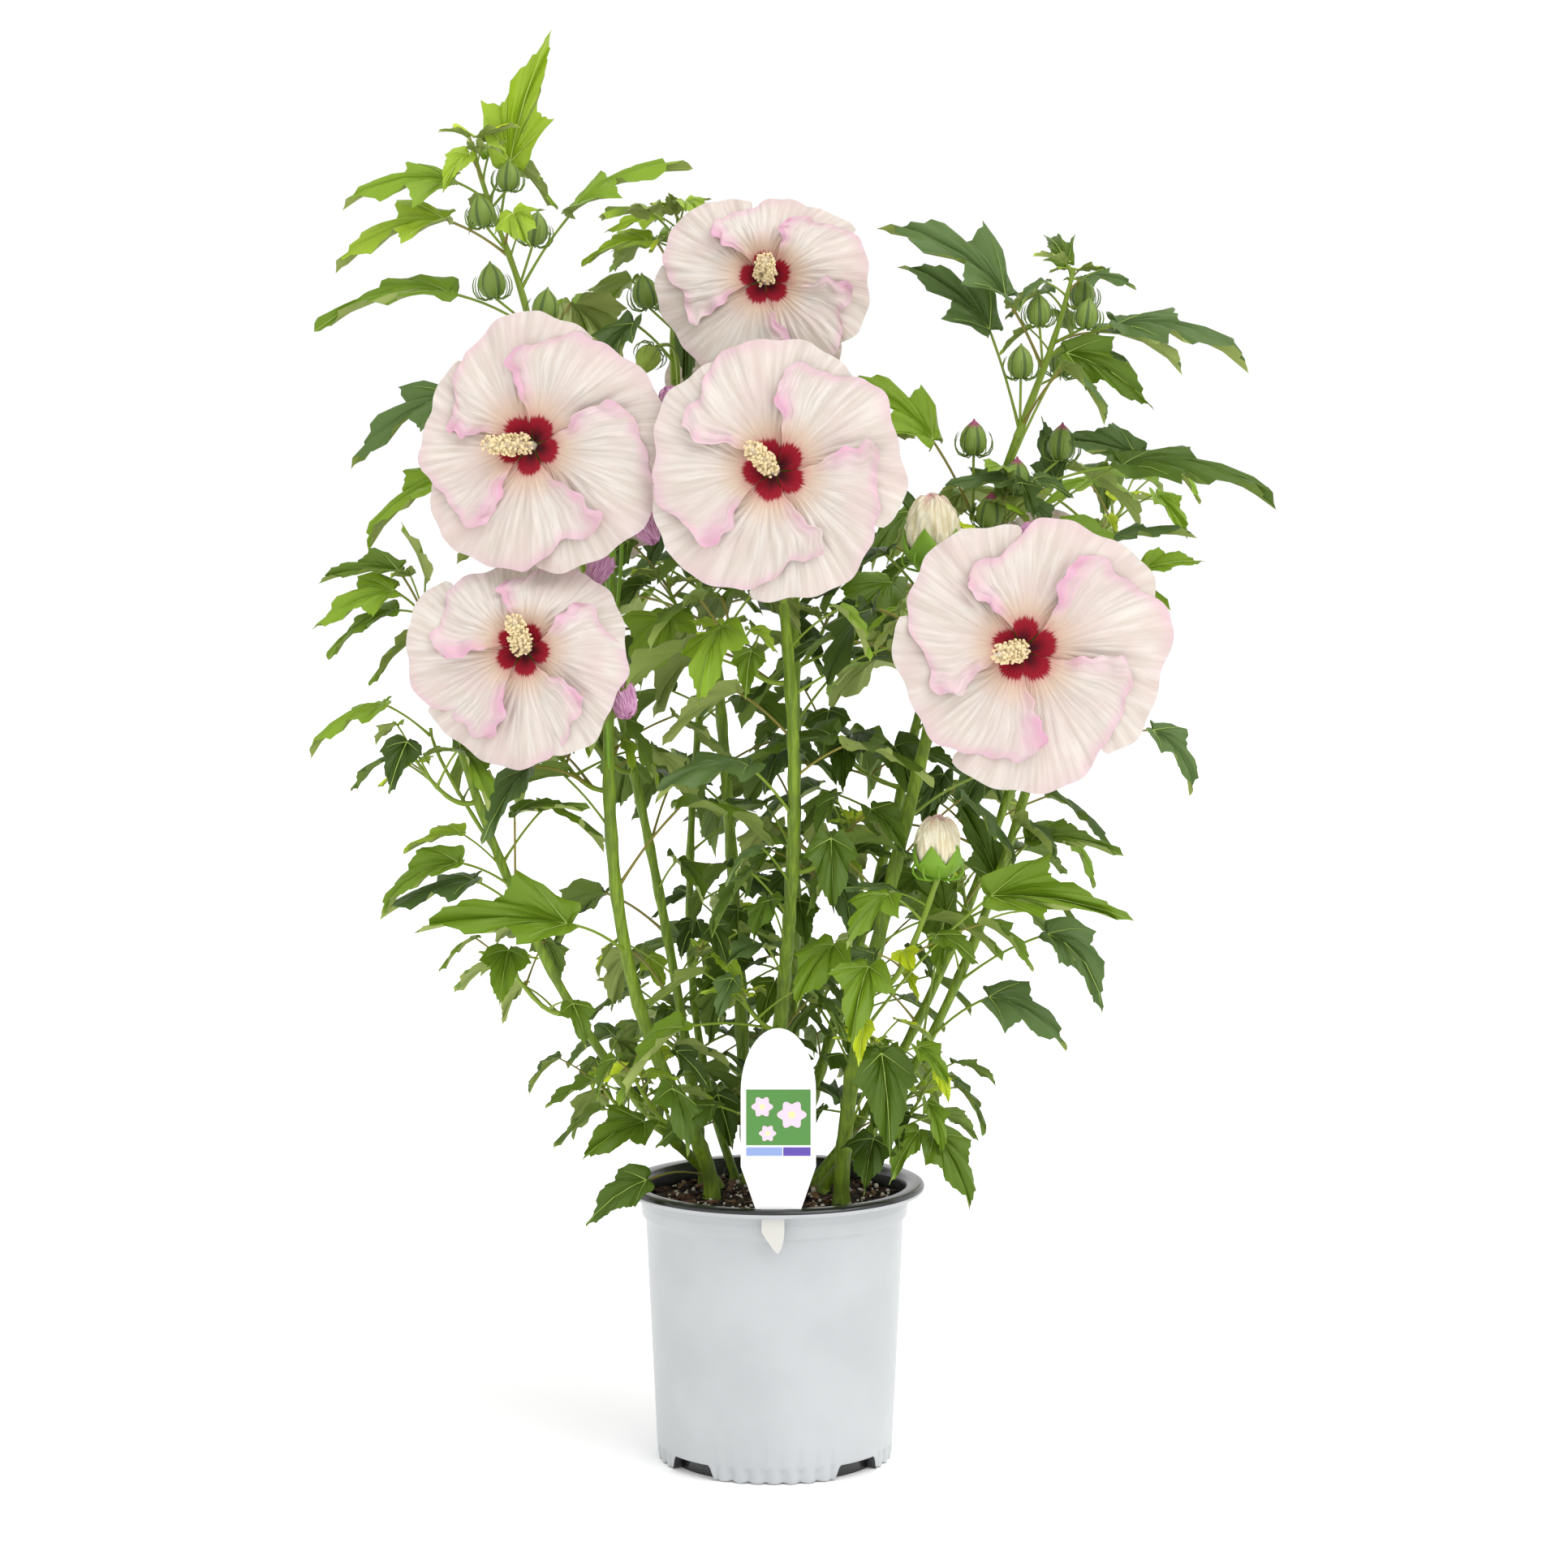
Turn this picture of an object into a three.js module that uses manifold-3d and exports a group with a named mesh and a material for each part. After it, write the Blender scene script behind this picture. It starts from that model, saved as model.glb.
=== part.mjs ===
// A potted rose mallow in bloom, in millimetres, with Z up. The origin is the middle of the pot's
// underside, and the plant's front, where the largest blooms face, looks along -Y.
import * as THREE from "three";
import { mergeVertices } from "three/addons/utils/BufferGeometryUtils.js";
import Module from "manifold-3d";

const wasm = await Module();
wasm.setup();

// Driving dimensions
const GAP = 0.3; // clearance between neighbouring pieces
const POT = {
  segments: 36,
  footRadius: 91,
  shoulderRadius: 100,
  shoulderHeight: 190,
  bandRadius: 103,
  bandTop: 206,
  lipRadius: 116,
  height: 215.5,
  wall: 2,
  floor: 3,
  ledgeHeight: 11.5,
  ledgeWidth: 10,
  ledgeSlope: 4,
  rounding: 1.8,
};
const NOTCH = { count: 4, firstAngle: 45, width: 34, height: 9, depth: 9 };
const SOIL = { top: 203, edgeTop: 198, flatRadius: 86 };
const TAG = {
  x: 3,
  y: -110,
  thickness: 0.8,
  foot: POT.height + GAP,
  footWidth: 34,
  width: 56,
  taperTop: 248,
  sideTop: 304,
  top: 352,
  tongueWidth: 17,
  tongueTaper: 190,
  tongueEnd: 182,
  slotHeight: 30,
};

// Stems rise straight from the soil at their foot, then lean through a shoulder to their tip.
const STEMS = [
  {
    name: "left_low", foot: [-44, 30], rise: 20,
    shoulder: [-159, -36, 284], tip: [-239, -70, 571], diameters: [9, 5.6],
  },
  {
    name: "left_tall", foot: [-49, -1], rise: 75,
    shoulder: [-144, -58, 310], tip: [-122, -40, 647], diameters: [12, 8],
  },
  {
    name: "left_mid", foot: [-56, 48], rise: 20,
    shoulder: [-81, 31, 437], tip: [-141, 5, 668], diameters: [9, 5.6],
  },
  {
    name: "back_left", foot: [-21, 58], rise: 21,
    shoulder: [-39, 142, 604], tip: [-57, 95, 694], diameters: [11, 7],
  },
  {
    name: "back_slim", foot: [-32, 68], rise: 20,
    shoulder: [-96, 106, 300], tip: [-55, 170, 619], diameters: [7.5, 5],
  },
  {
    name: "centre", foot: [-3, -23], rise: 160,
    shoulder: [29, -75, 452], tip: [7, -70, 665], diameters: [11, 7.4],
  },
  {
    name: "centre_back", foot: [13, 32], rise: 160,
    shoulder: [24, 89, 760], tip: [2, 35, 826], diameters: [11, 6],
  },
  {
    name: "right_main", foot: [51, -26], rise: 74,
    shoulder: [70, -82, 406], tip: [142, 1, 655], diameters: [12.5, 8.4],
  },
  {
    name: "right_back", foot: [32, 48], rise: 20,
    shoulder: [129, 92, 262], tip: [235, 115, 677], diameters: [9, 5.6],
  },
  {
    name: "right_low", foot: [38, 22], rise: 20,
    shoulder: [127, -11, 262], tip: [205, -35, 574], diameters: [9, 5.8],
  },
  {
    name: "back_right", foot: [19, 61], rise: 74,
    shoulder: [90, 169, 401], tip: [129, 175, 632], diameters: [9, 6],
  },
];
// Each bough goes on from the tip of a stem.
const BOUGHS = [
  {
    name: "left_top", from: "left_tall",
    shoulder: [-176, -4, 812], tip: [-185, 0, 868], diameters: [7.6, 6],
  },
  {
    name: "mid_top", from: "back_left",
    shoulder: [-76, 86, 790], tip: [-79, 83, 836], diameters: [6.6, 5.6],
  },
  {
    name: "right_top", from: "right_main",
    shoulder: [172, 10, 752], tip: [186, 10, 790], diameters: [8, 6.6],
  },
];
const STEM_SIDES = 8;
const STEM_STEPS = 7;
const TWIG_SIDES = 3;
const TWIG_STEPS = 4;

// A bloom is given by its eye, the way it faces and its radius; its stalk starts at a stem's tip, or
// at a stem's side where a fraction of its length and a direction round it are given.
const BLOOMS = [
  {
    name: "bloom_top", eye: [-7, -30, 909], face: [270, 4],
    radius: 82, spin: 20, on: "centre_back",
  },
  {
    name: "bloom_left", eye: [-180, -130, 784], face: [262, 4],
    radius: 93, spin: 50, on: "left_mid",
  },
  {
    name: "bloom_centre", eye: [0, -160, 766], face: [268, 6],
    radius: 95, spin: 35, on: "centre",
  },
  {
    name: "bloom_low_left", eye: [-184, -150, 635], face: [264, 2],
    radius: 82, spin: 60, on: "left_low",
  },
  {
    name: "bloom_right", eye: [184, -140, 634], face: [276, 2],
    radius: 100, spin: 12, on: "right_low",
  },
  {
    name: "bloom_rear_left", eye: [-148, 64, 752], face: [104, 6],
    radius: 70, spin: 5, on: "left_top", at: 0.2, side: 95,
  },
  {
    name: "bloom_rear_top", eye: [-16, 118, 838], face: [92, 8],
    radius: 82, spin: 40, on: "centre_back", at: 0.9, side: 130,
  },
  {
    name: "bloom_rear_right", eye: [206, 64, 668], face: [78, 4],
    radius: 66, spin: 66, on: "right_main", at: 0.9, side: 60,
  },
];
const BLOOM = {
  petals: 5,
  petalColumns: 3,
  rings: [0.09, 0.6, 1],
  rims: [0.94, 1, 1], // the rim's reach at each column of a petal
  throat: 24,
  reflex: 8,
  overlap: 7,
  thickness: 1.8,
  calyxFoot: 5,
  calyxRadius: 12,
  calyxLength: 22,
  calyxBand: 6,
  calyxSides: 6,
  columnLength: 46,
  columnRadius: 3.2,
  columnFlare: 1.4,
  columnSides: 5,
  stalkRadius: 2.5,
  stalkSides: 5,
  stalkSteps: 4,
  stalkSunk: 2,
};

// Leaves: a petiole and a three-lobed blade that arches down. Sizes are shares of the blade's length.
const LEAF = {
  petioleRadius: 1.2,
  petioleTaper: 0.8,
  thickness: 0.018,
  middle: 0.3,
  fold: 0.22,
  lobeAt: [0.16, 0.38],
  lobeWidth: [0.42, 0.46],
  notchAt: [0.52, 0.44],
  notchWidth: [0.25, 0.15],
};
// Foliage keeps inside the crown: the crown's half width at each height, as steps of height and reach.
const CROWN = [
  [186, 165],
  [270, 232],
  [350, 262],
  [420, 312],
  [550, 366],
  [760, 396],
  [1100, 396],
];
const CROWN_DEPTH = 0.86;
const CROWN_MIDDLE_Y = 30;
const FOLIAGE_FRONT = -215;
// Space that foliage leaves free: round the tag, the pot's lip and the faces of the blooms
const FREE = {
  tagAbove: 6,
  tagBehind: 50,
  tagSide: 6,
  lip: 8,
  bloomBehind: 12,
  bloomSide: 4,
  rearView: 55,
};
const SAMPLE = 5.5; // spacing of the points that test whether a leaf has room
const LIMB_SAMPLE = 4;
const LEAF_REACH = 4.2;
const LIMB_SLACK = 1.1; // a limb's path is at most this much longer than its chord
const ROOT_FREE = 14; // the length of petiole that may lie against its own twig
const SEED = 4711;

// What is tried in turn where there is no room: other directions, drooping and shrinking by the step
const TRIES = [0, 18, -18, 36, -36, 60, -60, 90, -90, 125, -125];
const TRY_DROOP = 2.5;
const TRY_SHRINK = 0.03;

// Twigs on the sides of the stems: how many, between which fractions of the stem, the direction of
// the first one, and how long the twigs are. Each next one stands round the stem by the turn.
const TURN = 138;
const SIDE_TWIGS = [
  { on: "centre", count: 3, from: 0.32, to: 0.9, side: 250, length: 70 },
  { on: "left_tall", count: 3, from: 0.3, to: 0.86, side: 230, length: 75 },
  { on: "right_back", count: 2, from: 0.42, to: 0.78, side: 330, length: 80 },
  { on: "left_low", count: 3, from: 0.4, to: 0.93, side: 165, turn: 16, length: 66 },
  { on: "right_low", count: 2, from: 0.4, to: 0.78, side: 320, length: 66 },
  { on: "left_mid", count: 2, from: 0.36, to: 0.8, side: 104, length: 80 },
  { on: "centre_back", count: 3, from: 0.34, to: 0.82, side: 300, length: 90 },
  { on: "back_left", count: 2, from: 0.4, to: 0.84, side: 100, length: 90 },
  { on: "back_right", count: 2, from: 0.42, to: 0.8, side: 60, length: 90 },
  { on: "back_slim", count: 1, from: 0.5, to: 0.5, side: 150, length: 90 },
  { on: "right_main", count: 1, from: 0.34, to: 0.34, side: 285, length: 70 },
];
const SIDE_LENGTH = [0.85, 1.15];
const SIDE_LEAVES = 7;
// Leafy twigs that go on from a stem's tip.
const TIP_TWIGS = [
  { on: "right_back", to: [282, 150, 740] },
  { on: "back_right", to: [140, 228, 716] },
  { on: "back_slim", to: [-70, 236, 706] },
];
const TIP_LEAVES = 8;
// Blades grow with their height above the soil, up to the full size.
const BLADE = { low: 74, high: 104, fullHeight: 640 };
const TWIG = { bend: 0.35, rise: 36, shrink: 0.05, rootFree: 18 };
const TWIG_RADII = { crest: 1.6, tip: 1.4, side: [2.2, 1.3], stub: [2.2, 1.8], bud: [2.4, 2.2] };
// Along a twig its leaves go from these first values to these last ones; the spreads are random.
const TWIG_LEAF = {
  at: [0.2, 0.97],
  size: [1.05, 0.62],
  sizeSpread: 0.2,
  fan: [30, 75],
  fanSpread: 40,
  rise: [12, 48],
  riseSpread: 16,
  petiole: [0.62, 0.82],
  pitch: [-4, -28],
  curl: [24, 50],
  lobing: [0.2, 0.5],
};

// The tops, node by node: a leaf on its petiole, and a bud on its stalk from the same axil.
// A leaf is its petiole's direction, rise and length, then the blade's length, pitch and roll.
const TOPS = [
  {
    name: "left_crest",
    on: "left_top",
    apex: [-229, 0, 1012],
    leaves: [
      { at: 0.03, side: 186, rise: 23, petiole: 66, blade: 106, pitch: 6, roll: -22 },
      { at: 0.22, side: 5, rise: 56, petiole: 71, blade: 98, pitch: 43, roll: 12 },
      { at: 0.4, side: 176, rise: 30, petiole: 55, blade: 95, pitch: -2, roll: -28 },
      { at: 0.55, side: 20, rise: 80, petiole: 51, blade: 94, pitch: 84, roll: 68 },
      { at: 0.69, side: 184, rise: 30, petiole: 33, blade: 86, pitch: 8, roll: -38 },
      { at: 0.8, side: 80, rise: 50, petiole: 26, blade: 62, pitch: 20, roll: 0 },
      { at: 0.9, side: 300, rise: 45, petiole: 12, blade: 44, pitch: 10, roll: 0 },
    ],
    buds: [
      { at: 0.04, side: 196, rise: 34, stalk: 37, size: 22 },
      { at: 0.10, side: 311, rise: -19, stalk: 22, size: 22 },
      { at: 0.24, side: 325, rise: 67, stalk: 34, size: 21 },
      { at: 0.42, side: 211, rise: 39, stalk: 31, size: 20 },
      { at: 0.66, side: 282, rise: 37, stalk: 22, size: 19 },
      { at: 0.76, side: 213, rise: 18, stalk: 24, size: 18 },
      { at: 0.82, side: 60, rise: 19, stalk: 17, size: 17 },
      { at: 0.99, side: 259, rise: 68, stalk: 5, size: 14 },
    ],
  },
  {
    name: "right_crest",
    on: "right_top",
    apex: [228, 10, 918],
    leaves: [
      { at: 0.03, side: 172, rise: 73, petiole: 81, blade: 86, pitch: 56, roll: -55 },
      { at: 0.06, side: 345, rise: 44, petiole: 62, blade: 74, pitch: -8, roll: -40 },
      { at: 0.4, side: 178, rise: 61, petiole: 63, blade: 117, pitch: 50, roll: -45 },
      { at: 0.48, side: 356, rise: 25, petiole: 58, blade: 108, pitch: 4, roll: 16 },
      { at: 0.56, side: 28, rise: 12, petiole: 44, blade: 84, pitch: 2, roll: 20 },
      { at: 0.76, side: 165, rise: 40, petiole: 22, blade: 58, pitch: 8, roll: -20 },
      { at: 0.86, side: 330, rise: 40, petiole: 16, blade: 46, pitch: 10, roll: 20 },
      { at: 0.94, side: 110, rise: 55, petiole: 14, blade: 48, pitch: 50, roll: -40 },
    ],
    buds: [
      { at: 0.03, side: 268, rise: 69, stalk: 44, size: 21 },
      { at: 0.22, side: 289, rise: 18, stalk: 20, size: 22 },
      { at: 0.40, side: 234, rise: 70, stalk: 36, size: 20 },
      { at: 0.30, side: 15, rise: 16, stalk: 33, size: 22 },
      { at: 0.78, side: 274, rise: 1, stalk: 19, size: 20 },
      { at: 0.56, side: 340, rise: 21, stalk: 32, size: 19 },
      { at: 0.80, side: 15, rise: 3, stalk: 23, size: 17 },
      { at: 0.97, side: 180, rise: 90, stalk: 7, size: 14 },
    ],
  },
  {
    name: "mid_crest",
    on: "mid_top",
    apex: [-75, 72, 960],
    leaves: [
      { at: 0.1, side: 190, rise: 34, petiole: 52, blade: 84, pitch: -28, roll: -20 },
      { at: 0.3, side: 75, rise: 40, petiole: 62, blade: 92, pitch: 0, roll: 0 },
      { at: 0.46, side: 222, rise: 30, petiole: 36, blade: 104, pitch: -44, roll: -15 },
      { at: 0.62, side: 120, rise: 45, petiole: 44, blade: 82, pitch: 6, roll: -30 },
      { at: 0.8, side: 186, rise: 20, petiole: 24, blade: 56, pitch: 0, roll: -35 },
      { at: 0.93, side: 150, rise: 35, petiole: 16, blade: 50, pitch: 12, roll: -30 },
    ],
    buds: [
      { at: 0.30, side: 217, rise: 36, stalk: 29, size: 22 },
      { at: 0.74, side: 196, rise: 35, stalk: 20, size: 21 },
      { at: 0.97, side: 289, rise: 17, stalk: 7, size: 18 },
    ],
  },
];
const TOP_LEAF = { curl: 42, lobing: 0.85 };
const BUD = { sides: 6, rings: 4, stalkRadius: 1.1, sunk: 1, tall: 1.2, reach: 0 };
// Leaves and buds that leave a bough below its tip, each from a short stub.
const STUB_LENGTH = 10;
const STUBS = [
  {
    name: "left_top_outer",
    on: "left_top",
    at: 0.45,
    side: 180,
    leaves: [
      { at: 0.8, side: 182, rise: 40, petiole: 112, blade: 96, pitch: -14, roll: -30 },
      { at: 0.4, side: 174, rise: 6, petiole: 92, blade: 90, pitch: -16, roll: -25 },
    ],
    buds: [],
  },
  {
    name: "right_top_inner",
    on: "right_top",
    at: 0.5,
    side: 180,
    leaves: [{ at: 0.7, side: 176, rise: 62, petiole: 68, blade: 92, pitch: 54, roll: -42 }],
    buds: [{ at: 0.8, side: 210, rise: 82, stalk: 50, size: 22 }],
  },
  {
    name: "right_top_outer",
    on: "right_top",
    at: 0.66,
    side: 0,
    leaves: [
      { at: 0.7, side: 356, rise: 17, petiole: 88, blade: 124, pitch: 8, roll: 22 },
      { at: 0.5, side: 40, rise: 20, petiole: 66, blade: 96, pitch: -6, roll: 10 },
    ],
    buds: [{ at: 0.9, side: 4, rise: 38, stalk: 50, size: 23 }],
  },
];
// Twigs that end in a swollen bud, about to open.
const FULL_BUD = { size: 34, height: 50, stalk: 3 };
const BUD_TWIGS = [
  { name: "bud_twig_high", on: "right_main", at: 0.93, side: 200, to: [120, -12, 690] },
  { name: "bud_twig_low", on: "right_main", at: 0.52, side: 300, to: [122, -86, 462] },
];
const BUD_TWIG_LEAVES = 4;
const BUD_TWIG_LOBING = 0.7;

const GREEN = 0x4f7f2c;
const COLOURS = {
  pot: { color: 0xe4e9f0, roughness: 0.45, metalness: 0 },
  soil: { color: 0x2e211b, roughness: 1, metalness: 0 },
  tag: { color: 0xf4f5f7, roughness: 0.5, metalness: 0 },
  stem: { color: 0x7f9a3a, roughness: 0.6, metalness: 0 },
  foliage: { color: GREEN, roughness: 0.65, metalness: 0 },
  bloom: { color: 0xf6dfe0, roughness: 0.7, metalness: 0 },
};

// Small helpers
const UP = new THREE.Vector3(0, 0, 1);
const EAST = new THREE.Vector3(1, 0, 0);
const plant = new THREE.Group();
const radians = THREE.MathUtils.degToRad;
const vector = (list) => new THREE.Vector3(...list);
const mix = THREE.MathUtils.lerp;
const span = (from, to, k, count) => (count > 1 ? mix(from, to, k / (count - 1)) : from);

function draws(seed) {
  let state = seed;
  return () => {
    state = (state * 16807) % 2147483647;
    return state / 2147483647;
  };
}

function heading(azimuth, rise) {
  const flat = Math.cos(radians(rise));
  return new THREE.Vector3(
    flat * Math.cos(radians(azimuth)),
    flat * Math.sin(radians(azimuth)),
    Math.sin(radians(rise)),
  );
}

function along(point, direction, length) {
  return point.clone().addScaledVector(direction, length);
}

function addMesh(name, geometry, finish) {
  const mesh = new THREE.Mesh(geometry, new THREE.MeshStandardMaterial(COLOURS[finish]));
  mesh.name = name;
  plant.add(mesh);
}

// Solids
function solidOf(geometry) {
  const bare = geometry.clone();
  bare.deleteAttribute("normal");
  bare.deleteAttribute("uv");
  const merged = mergeVertices(bare, 1e-4);
  return new wasm.Manifold(
    new wasm.Mesh({
      numProp: 3,
      vertProperties: new Float32Array(merged.attributes.position.array),
      triVerts: new Uint32Array(merged.index.array),
    }),
  );
}

function geometryOf(solid) {
  const mesh = solid.getMesh();
  const geometry = new THREE.BufferGeometry();
  geometry.setAttribute("position", new THREE.BufferAttribute(mesh.vertProperties, 3));
  geometry.setIndex(new THREE.BufferAttribute(mesh.triVerts, 1));
  return geometry;
}

function fuse(geometries) {
  return geometryOf(geometries.map(solidOf).reduce((whole, piece) => whole.add(piece)));
}

// Paths: each is a cubic curve of four points
function pathPoint(path, t) {
  const s = 1 - t;
  return new THREE.Vector3()
    .addScaledVector(path[0], s * s * s)
    .addScaledVector(path[1], 3 * s * s * t)
    .addScaledVector(path[2], 3 * s * t * t)
    .addScaledVector(path[3], t * t * t);
}

function pathDirection(path, t) {
  const s = 1 - t;
  return new THREE.Vector3()
    .addScaledVector(path[0], -s * s)
    .addScaledVector(path[1], s * s - 2 * s * t)
    .addScaledVector(path[2], 2 * s * t - t * t)
    .addScaledVector(path[3], t * t)
    .normalize();
}

// A limb is straight between its rings: a place on that faceted axis, and the axis's direction there
function axisAt(limb, at) {
  const step = Math.min(limb.steps - 1, Math.floor(at * limb.steps));
  const start = pathPoint(limb.path, step / limb.steps);
  const end = pathPoint(limb.path, (step + 1) / limb.steps);
  const direction = end.clone().sub(start).normalize();
  return { point: start.lerp(end, at * limb.steps - step), direction };
}

// A limb: round, tapering, along its path; a stem's foot is cut level.
function limbGeometry(limb, sides) {
  const geometry = new THREE.CylinderGeometry(1, 1, 1, sides, limb.steps);
  const position = geometry.attributes.position;
  for (let i = 0; i < position.count; i++) {
    const t = position.getY(i) + 0.5;
    const direction = limb.level && t < 1e-6 ? UP : pathDirection(limb.path, t);
    const side = along(limb.across, direction, -limb.across.dot(direction)).normalize();
    const other = new THREE.Vector3().crossVectors(side, direction);
    const radius = mix(limb.radii[0], limb.radii[1], t);
    const place = pathPoint(limb.path, t)
      .addScaledVector(side, position.getX(i) * radius)
      .addScaledVector(other, position.getZ(i) * radius);
    position.setXYZ(i, place.x, place.y, place.z);
  }
  return geometry;
}

// Room: points of what already stands, each with the reach around it that stays free
const CELL = 24;
const standing = new Map();

function cellKey(x, y, z) {
  return x + "," + y + "," + z;
}

function claim(samples) {
  for (const sample of samples) {
    const { x, y, z } = sample.point;
    const key = cellKey(Math.floor(x / CELL), Math.floor(y / CELL), Math.floor(z / CELL));
    if (!standing.has(key)) standing.set(key, []);
    standing.get(key).push(sample);
  }
}

function isTaken(sample) {
  const cx = Math.floor(sample.point.x / CELL);
  const cy = Math.floor(sample.point.y / CELL);
  const cz = Math.floor(sample.point.z / CELL);
  for (let x = cx - 1; x <= cx + 1; x++)
    for (let y = cy - 1; y <= cy + 1; y++)
      for (let z = cz - 1; z <= cz + 1; z++)
        for (const other of standing.get(cellKey(x, y, z)) ?? [])
          if (sample.point.distanceTo(other.point) < sample.reach + other.reach) return true;
  return false;
}

// The crown's space leaves free the blooms' faces and the tag's front.
function isOutside(point) {
  let reach = 0;
  for (let i = 1; i < CROWN.length; i++) {
    const [low, lowReach] = CROWN[i - 1];
    const [high, highReach] = CROWN[i];
    if (point.z >= low && point.z <= high)
      reach = mix(lowReach, highReach, (point.z - low) / (high - low));
  }
  const depth = (point.y - CROWN_MIDDLE_Y) / CROWN_DEPTH;
  if (Math.hypot(point.x, depth) > reach || point.y < FOLIAGE_FRONT) return true;
  const isByTag = Math.abs(point.x - TAG.x) < TAG.width / 2 + FREE.tagSide;
  if (isByTag && point.z < TAG.top + FREE.tagAbove && point.y < TAG.y + FREE.tagBehind) return true;
  const isOverPot = Math.hypot(point.x, point.y) < POT.lipRadius + FREE.lip;
  if (isOverPot && point.z < POT.height + FREE.lip) return true;
  return BLOOMS.some(({ eye, radius, face }) => {
    const isFront = face[0] > 180;
    const ahead = isFront ? eye[1] - point.y : point.y - eye[1];
    const isBefore = ahead > -FREE.bloomBehind && (isFront || ahead < FREE.rearView);
    return isBefore && Math.hypot(point.x - eye[0], point.z - eye[2]) < radius + FREE.bloomSide;
  });
}

function limbSamples(limb, free) {
  const length = limb.path[0].distanceTo(limb.path[3]);
  const steps = Math.ceil((length * LIMB_SLACK) / LIMB_SAMPLE);
  const samples = [];
  for (let i = 0; i <= steps; i++) {
    const t = i / steps;
    const reach = mix(limb.radii[0], limb.radii[1], t) + LIMB_SAMPLE / 2;
    if (t * length >= free) samples.push({ point: pathPoint(limb.path, t), reach });
  }
  return samples;
}

// Leaves
function leafFrame(leaf) {
  const aim = heading(leaf.side, leaf.rise);
  const flat = heading(leaf.side, 0);
  const left = new THREE.Vector3(-flat.y, flat.x, 0);
  const base = along(leaf.root, aim, leaf.petiole);
  return { aim, flat, left, base };
}

// A point of the blade: forward, to the left and lifted, as shares of the blade's length
function bladePoint(leaf, frame, forward, left, lift) {
  const pitch = radians(leaf.pitch);
  const curl = radians(leaf.curl);
  const roll = radians(leaf.roll ?? 0);
  const angle = pitch - curl * forward;
  const ahead = (Math.sin(pitch) - Math.sin(angle)) / curl;
  const rise = (Math.cos(angle) - Math.cos(pitch)) / curl;
  const folded = lift + LEAF.fold * Math.abs(left);
  const aside = left * Math.cos(roll) - folded * Math.sin(roll);
  const height = left * Math.sin(roll) + folded * Math.cos(roll);
  return frame.base
    .clone()
    .addScaledVector(frame.flat, (ahead - Math.sin(angle) * height) * leaf.blade)
    .addScaledVector(UP, (rise + Math.cos(angle) * height) * leaf.blade)
    .addScaledVector(frame.left, aside * leaf.blade);
}

function leafOutline(leaf, frame) {
  const pick = ([shallow, deep]) => mix(shallow, deep, leaf.lobing);
  const lobe = [pick(LEAF.lobeAt), pick(LEAF.lobeWidth)];
  const notch = [pick(LEAF.notchAt), pick(LEAF.notchWidth)];
  const halves = [
    [lobe[0], -lobe[1]],
    [notch[0], -notch[1]],
    [1, 0],
    [notch[0], notch[1]],
    [lobe[0], lobe[1]],
  ];
  return halves.map(([forward, left]) => bladePoint(leaf, frame, forward, left, 0));
}

function leafGeometry(leaf) {
  const frame = leafFrame(leaf);
  const side = frame.left.clone().applyAxisAngle(frame.aim, radians(leaf.roll ?? 0));
  const above = new THREE.Vector3().crossVectors(frame.aim, side);
  const ring = (centre, radius) => [
    along(along(centre, side, radius), above, radius / 2),
    along(along(centre, side, -radius), above, radius / 2),
    along(centre, above, -radius),
  ];
  const [startLeft, startRight, startLow] = ring(leaf.root, LEAF.petioleRadius);
  const [endLeft, endRight, endLow] = ring(frame.base, LEAF.petioleRadius * LEAF.petioleTaper);
  const top = bladePoint(leaf, frame, LEAF.middle, 0, LEAF.thickness / 2);
  const under = bladePoint(leaf, frame, LEAF.middle, 0, -LEAF.thickness / 2);
  const outline = [endRight, ...leafOutline(leaf, frame), endLeft];
  const faces = [
    [startRight, endRight, endLeft],
    [startRight, endLeft, startLeft],
    [startLeft, endLeft, endLow],
    [startLeft, endLow, startLow],
    [startLow, endLow, endRight],
    [startLow, endRight, startRight],
    [startLeft, startLow, startRight],
    [top, endLeft, endRight],
    [under, endLow, endLeft],
    [under, endRight, endLow],
  ];
  for (let i = 1; i < outline.length; i++) {
    faces.push([top, outline[i - 1], outline[i]]);
    faces.push([under, outline[i], outline[i - 1]]);
  }
  return new THREE.BufferGeometry().setFromPoints(faces.flat());
}

function leafSamples(leaf) {
  const frame = leafFrame(leaf);
  const samples = [];
  const steps = Math.ceil(leaf.petiole / LIMB_SAMPLE);
  for (let i = 0; i <= steps; i++) {
    const length = (leaf.petiole * i) / steps;
    const reach = LEAF.petioleRadius + LIMB_SAMPLE / 2;
    if (length >= ROOT_FREE) samples.push({ point: along(leaf.root, frame.aim, length), reach });
  }
  const middle = bladePoint(leaf, frame, LEAF.middle, 0, 0);
  const outline = [frame.base, ...leafOutline(leaf, frame), frame.base];
  for (let i = 1; i < outline.length; i++) {
    const one = outline[i - 1];
    const two = outline[i];
    const longest = Math.max(one.distanceTo(two), two.distanceTo(middle), middle.distanceTo(one));
    const parts = Math.ceil(longest / SAMPLE);
    for (let j = 0; j <= parts; j++)
      for (let k = 0; k <= parts - j; k++) {
        const point = middle
          .clone()
          .multiplyScalar((parts - j - k) / parts)
          .addScaledVector(one, j / parts)
          .addScaledVector(two, k / parts);
        samples.push({ point, reach: LEAF_REACH });
      }
  }
  return samples;
}

function hasRoom(samples) {
  return !samples.some((sample) => isOutside(sample.point) || isTaken(sample));
}

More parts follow.
